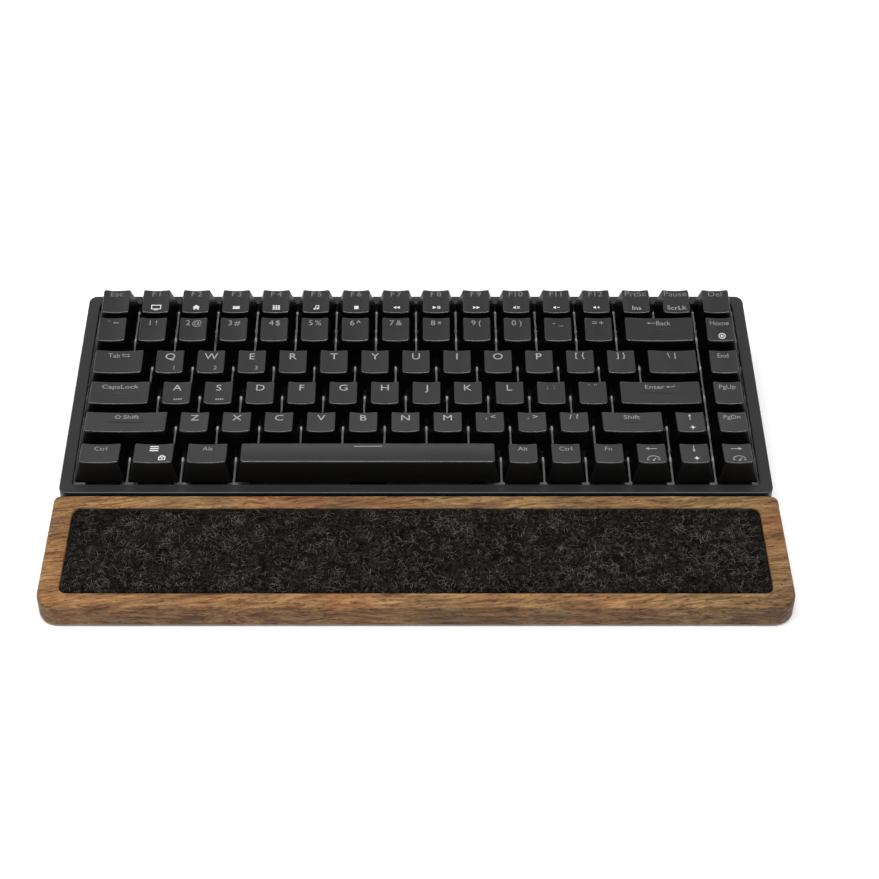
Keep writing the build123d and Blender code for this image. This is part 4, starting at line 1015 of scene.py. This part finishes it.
def fibre_line(x, y, heading, turn, length, lift):
    """The points of one curved fibre, lifted between its ends and kept on the felt."""
    points = []
    for i in range(FIBRE_STEPS + 1):
        t = i / FIBRE_STEPS
        rise = lift * 4 * t * (1 - t) + FIBRE_BASE
        points.append(Vector((x, y, rest_top(y) + rise)))
        heading += turn / FIBRE_STEPS
        x += length / FIBRE_STEPS * cos(heading)
        y += length / FIBRE_STEPS * sin(heading)
    half_x, half_y = FELT_SIZE[0] / 2 - FIBRE_MARGIN, FELT_SIZE[1] / 2 - FIBRE_MARGIN
    for p in points:
        p.x = min(max(p.x, -half_x), half_x)
        p.y = min(max(p.y, FELT_MIDDLE - half_y), FELT_MIDDLE + half_y)
    return points


def add_fibre(build, points):
    """A thin ribbon folded along its length, narrower at its ends."""
    vertices, faces = [], []
    for i, p in enumerate(points):
        ahead = points[min(i + 1, FIBRE_STEPS)] - points[max(i - 1, 0)]
        side = Vector((-ahead.y, ahead.x, 0))
        side = side.normalized() if side.length > 1e-9 else Vector((1, 0, 0))
        reach = side * FIBRE_WIDTH / 2 * (FIBRE_END if i in (0, FIBRE_STEPS) else 1.0)
        vertices += [p - reach, p + Vector((0, 0, FIBRE_WIDTH * FIBRE_RIDGE)), p + reach]
    for a in range(0, 3 * FIBRE_STEPS, 3):
        faces += [(a, a + 1, a + 4, a + 3), (a + 1, a + 2, a + 5, a + 4), (a + 2, a, a + 3, a + 5)]
    build.add(vertices, faces)


def make_fibres():
    """Short curved wool fibres in loose tufts, each tone a piece of its own."""
    chance = random.Random(11)
    builds = [Build() for _ in FIBRE_TONES]
    for _ in range(TUFT_COUNT):
        tuft_x = chance.uniform(-1, 1) * (FELT_SIZE[0] / 2 - TUFT_MARGIN)
        tuft_y = FELT_MIDDLE + chance.uniform(-1, 1) * (FELT_SIZE[1] / 2 - TUFT_MARGIN)
        lie = chance.uniform(0, 2 * pi)
        tones = PALE_TONES if chance.random() < PALE_TUFTS else DARK_TONES
        for _ in range(TUFT_FIBRES):
            tone = chance.choice(tones)
            length = chance.uniform(*FIBRE_LENGTH) * MM
            heading = lie + chance.gauss(0, FIBRE_STRAY)
            turn = chance.gauss(0, FIBRE_CURL)
            x = tuft_x + chance.gauss(0, 1) * TUFT_SPREAD
            y = tuft_y + chance.gauss(0, 1) * TUFT_SPREAD
            lift = chance.uniform(*FIBRE_LIFT) * MM
            add_fibre(builds[tone], fibre_line(x, y, heading, turn, length, lift))
    pieces = [build.make("wrist_rest_fibres_" + name, [material])
              for build, (name, material) in zip(builds, FIBRE_TONES)]
    for piece in pieces:
        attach(piece, "wrist_rest")
    return pieces


# ---- stage, light and camera
FOCAL, SENSOR = 78.1, 36.0
SHIFT = 0.0267
VIEW_DOWN = radians(41.7)
CAMERA_FRONT = 0.6144     # in front of the case
CAMERA_HEIGHT = 0.5945
FLOOR_HALF = 6.0
LIGHT_PLACE = Vector((-0.15, -0.45, 1.92))
LIGHT_SIZE = (2.6, 0.40)
LIGHT_POWER = 46


def make_camera():
    data = bpy.data.cameras.new("camera")
    data.lens, data.sensor_width = FOCAL, SENSOR
    data.shift_x = SHIFT
    data.clip_start = 0.01
    camera = bpy.data.objects.new("camera", data)
    camera.location = (0, case_low.y - CAMERA_FRONT, CAMERA_HEIGHT)
    camera.rotation_euler = (pi / 2 - VIEW_DOWN, 0, 0)
    bpy.context.scene.collection.objects.link(camera)
    bpy.context.scene.camera = camera


def make_light():
    """A long soft light in front, turned to the origin."""
    data = bpy.data.lights.new("strip", "AREA")
    data.shape = "RECTANGLE"
    data.size, data.size_y = LIGHT_SIZE
    data.energy = LIGHT_POWER
    light = bpy.data.objects.new("strip", data)
    light.location = LIGHT_PLACE
    light.rotation_euler = (-LIGHT_PLACE).to_track_quat("-Z", "Y").to_euler()
    bpy.context.scene.collection.objects.link(light)


def make_world():
    """A soft dome, white behind and above, darker towards the front and at the zenith.

    Seen directly it is white.
    """
    world = bpy.data.worlds.new("studio")
    n = Nodes(world)
    parts = n.node("ShaderNodeSeparateXYZ")
    n.link(n.coordinates["Generated"], parts.inputs[0])
    half = n.node("ShaderNodeMath", {1: 0.5, 2: 0.5}, operation="MULTIPLY_ADD")
    n.link(parts.outputs["Y"], half.inputs[0])
    depth = n.ramp(half.outputs[0], [(0.0, 0.10), (0.42, 0.12), (0.56, 1.0)])
    height = n.ramp(parts.outputs["Z"], [(0.0, 0.95), (0.66, 1.0), (0.80, 0.80), (0.88, 0.46), (0.94, 0.10),
                                         (1.0, 0.06)])
    dome = n.blend(depth, height, 1.0, "MULTIPLY")
    seen = n.blend(dome, (1.0, 1.0, 1.0), n.node("ShaderNodeLightPath").outputs["Is Camera Ray"])
    n.link(seen, n.tree.nodes["Background"].inputs["Color"])
    bpy.context.scene.world = world


def make_stage():
    """A pale paper floor that glows further out, so that it ends white."""
    n = new_material("floor_paper")
    colour = n.ramp(n.noise(3, 2), [(0.3, 0.90), (0.7, 0.92)])
    far = n.node("ShaderNodeVectorMath", operation="LENGTH")
    n.link(n.stretched((0.25, 0.25, 0.25)), far.inputs[0])
    n.link(n.ramp(far.outputs["Value"], [(0.2, 0.15), (0.5, 1.0)]), n.shader.inputs["Emission Strength"])
    material = n.finish(colour, Roughness=0.9, Specular_IOR_Level=0.1, Emission_Color=(1.0, 1.0, 1.0, 1.0))
    corners = [(-1, -1), (1, -1), (1, 1), (-1, 1)]
    floor = new_object("floor", [(x * FLOOR_HALF, y * FLOOR_HALF, 0) for x, y in corners], [(0, 1, 2, 3)])
    floor.data.materials.append(material)
    make_world()
    bpy.context.scene.view_settings.view_transform = "Standard"
    make_light()


make_camera()
make_stage()
finish_cad_nodes()
make_keys()
make_wrist_rest_body()
make_wrist_rest_felt()
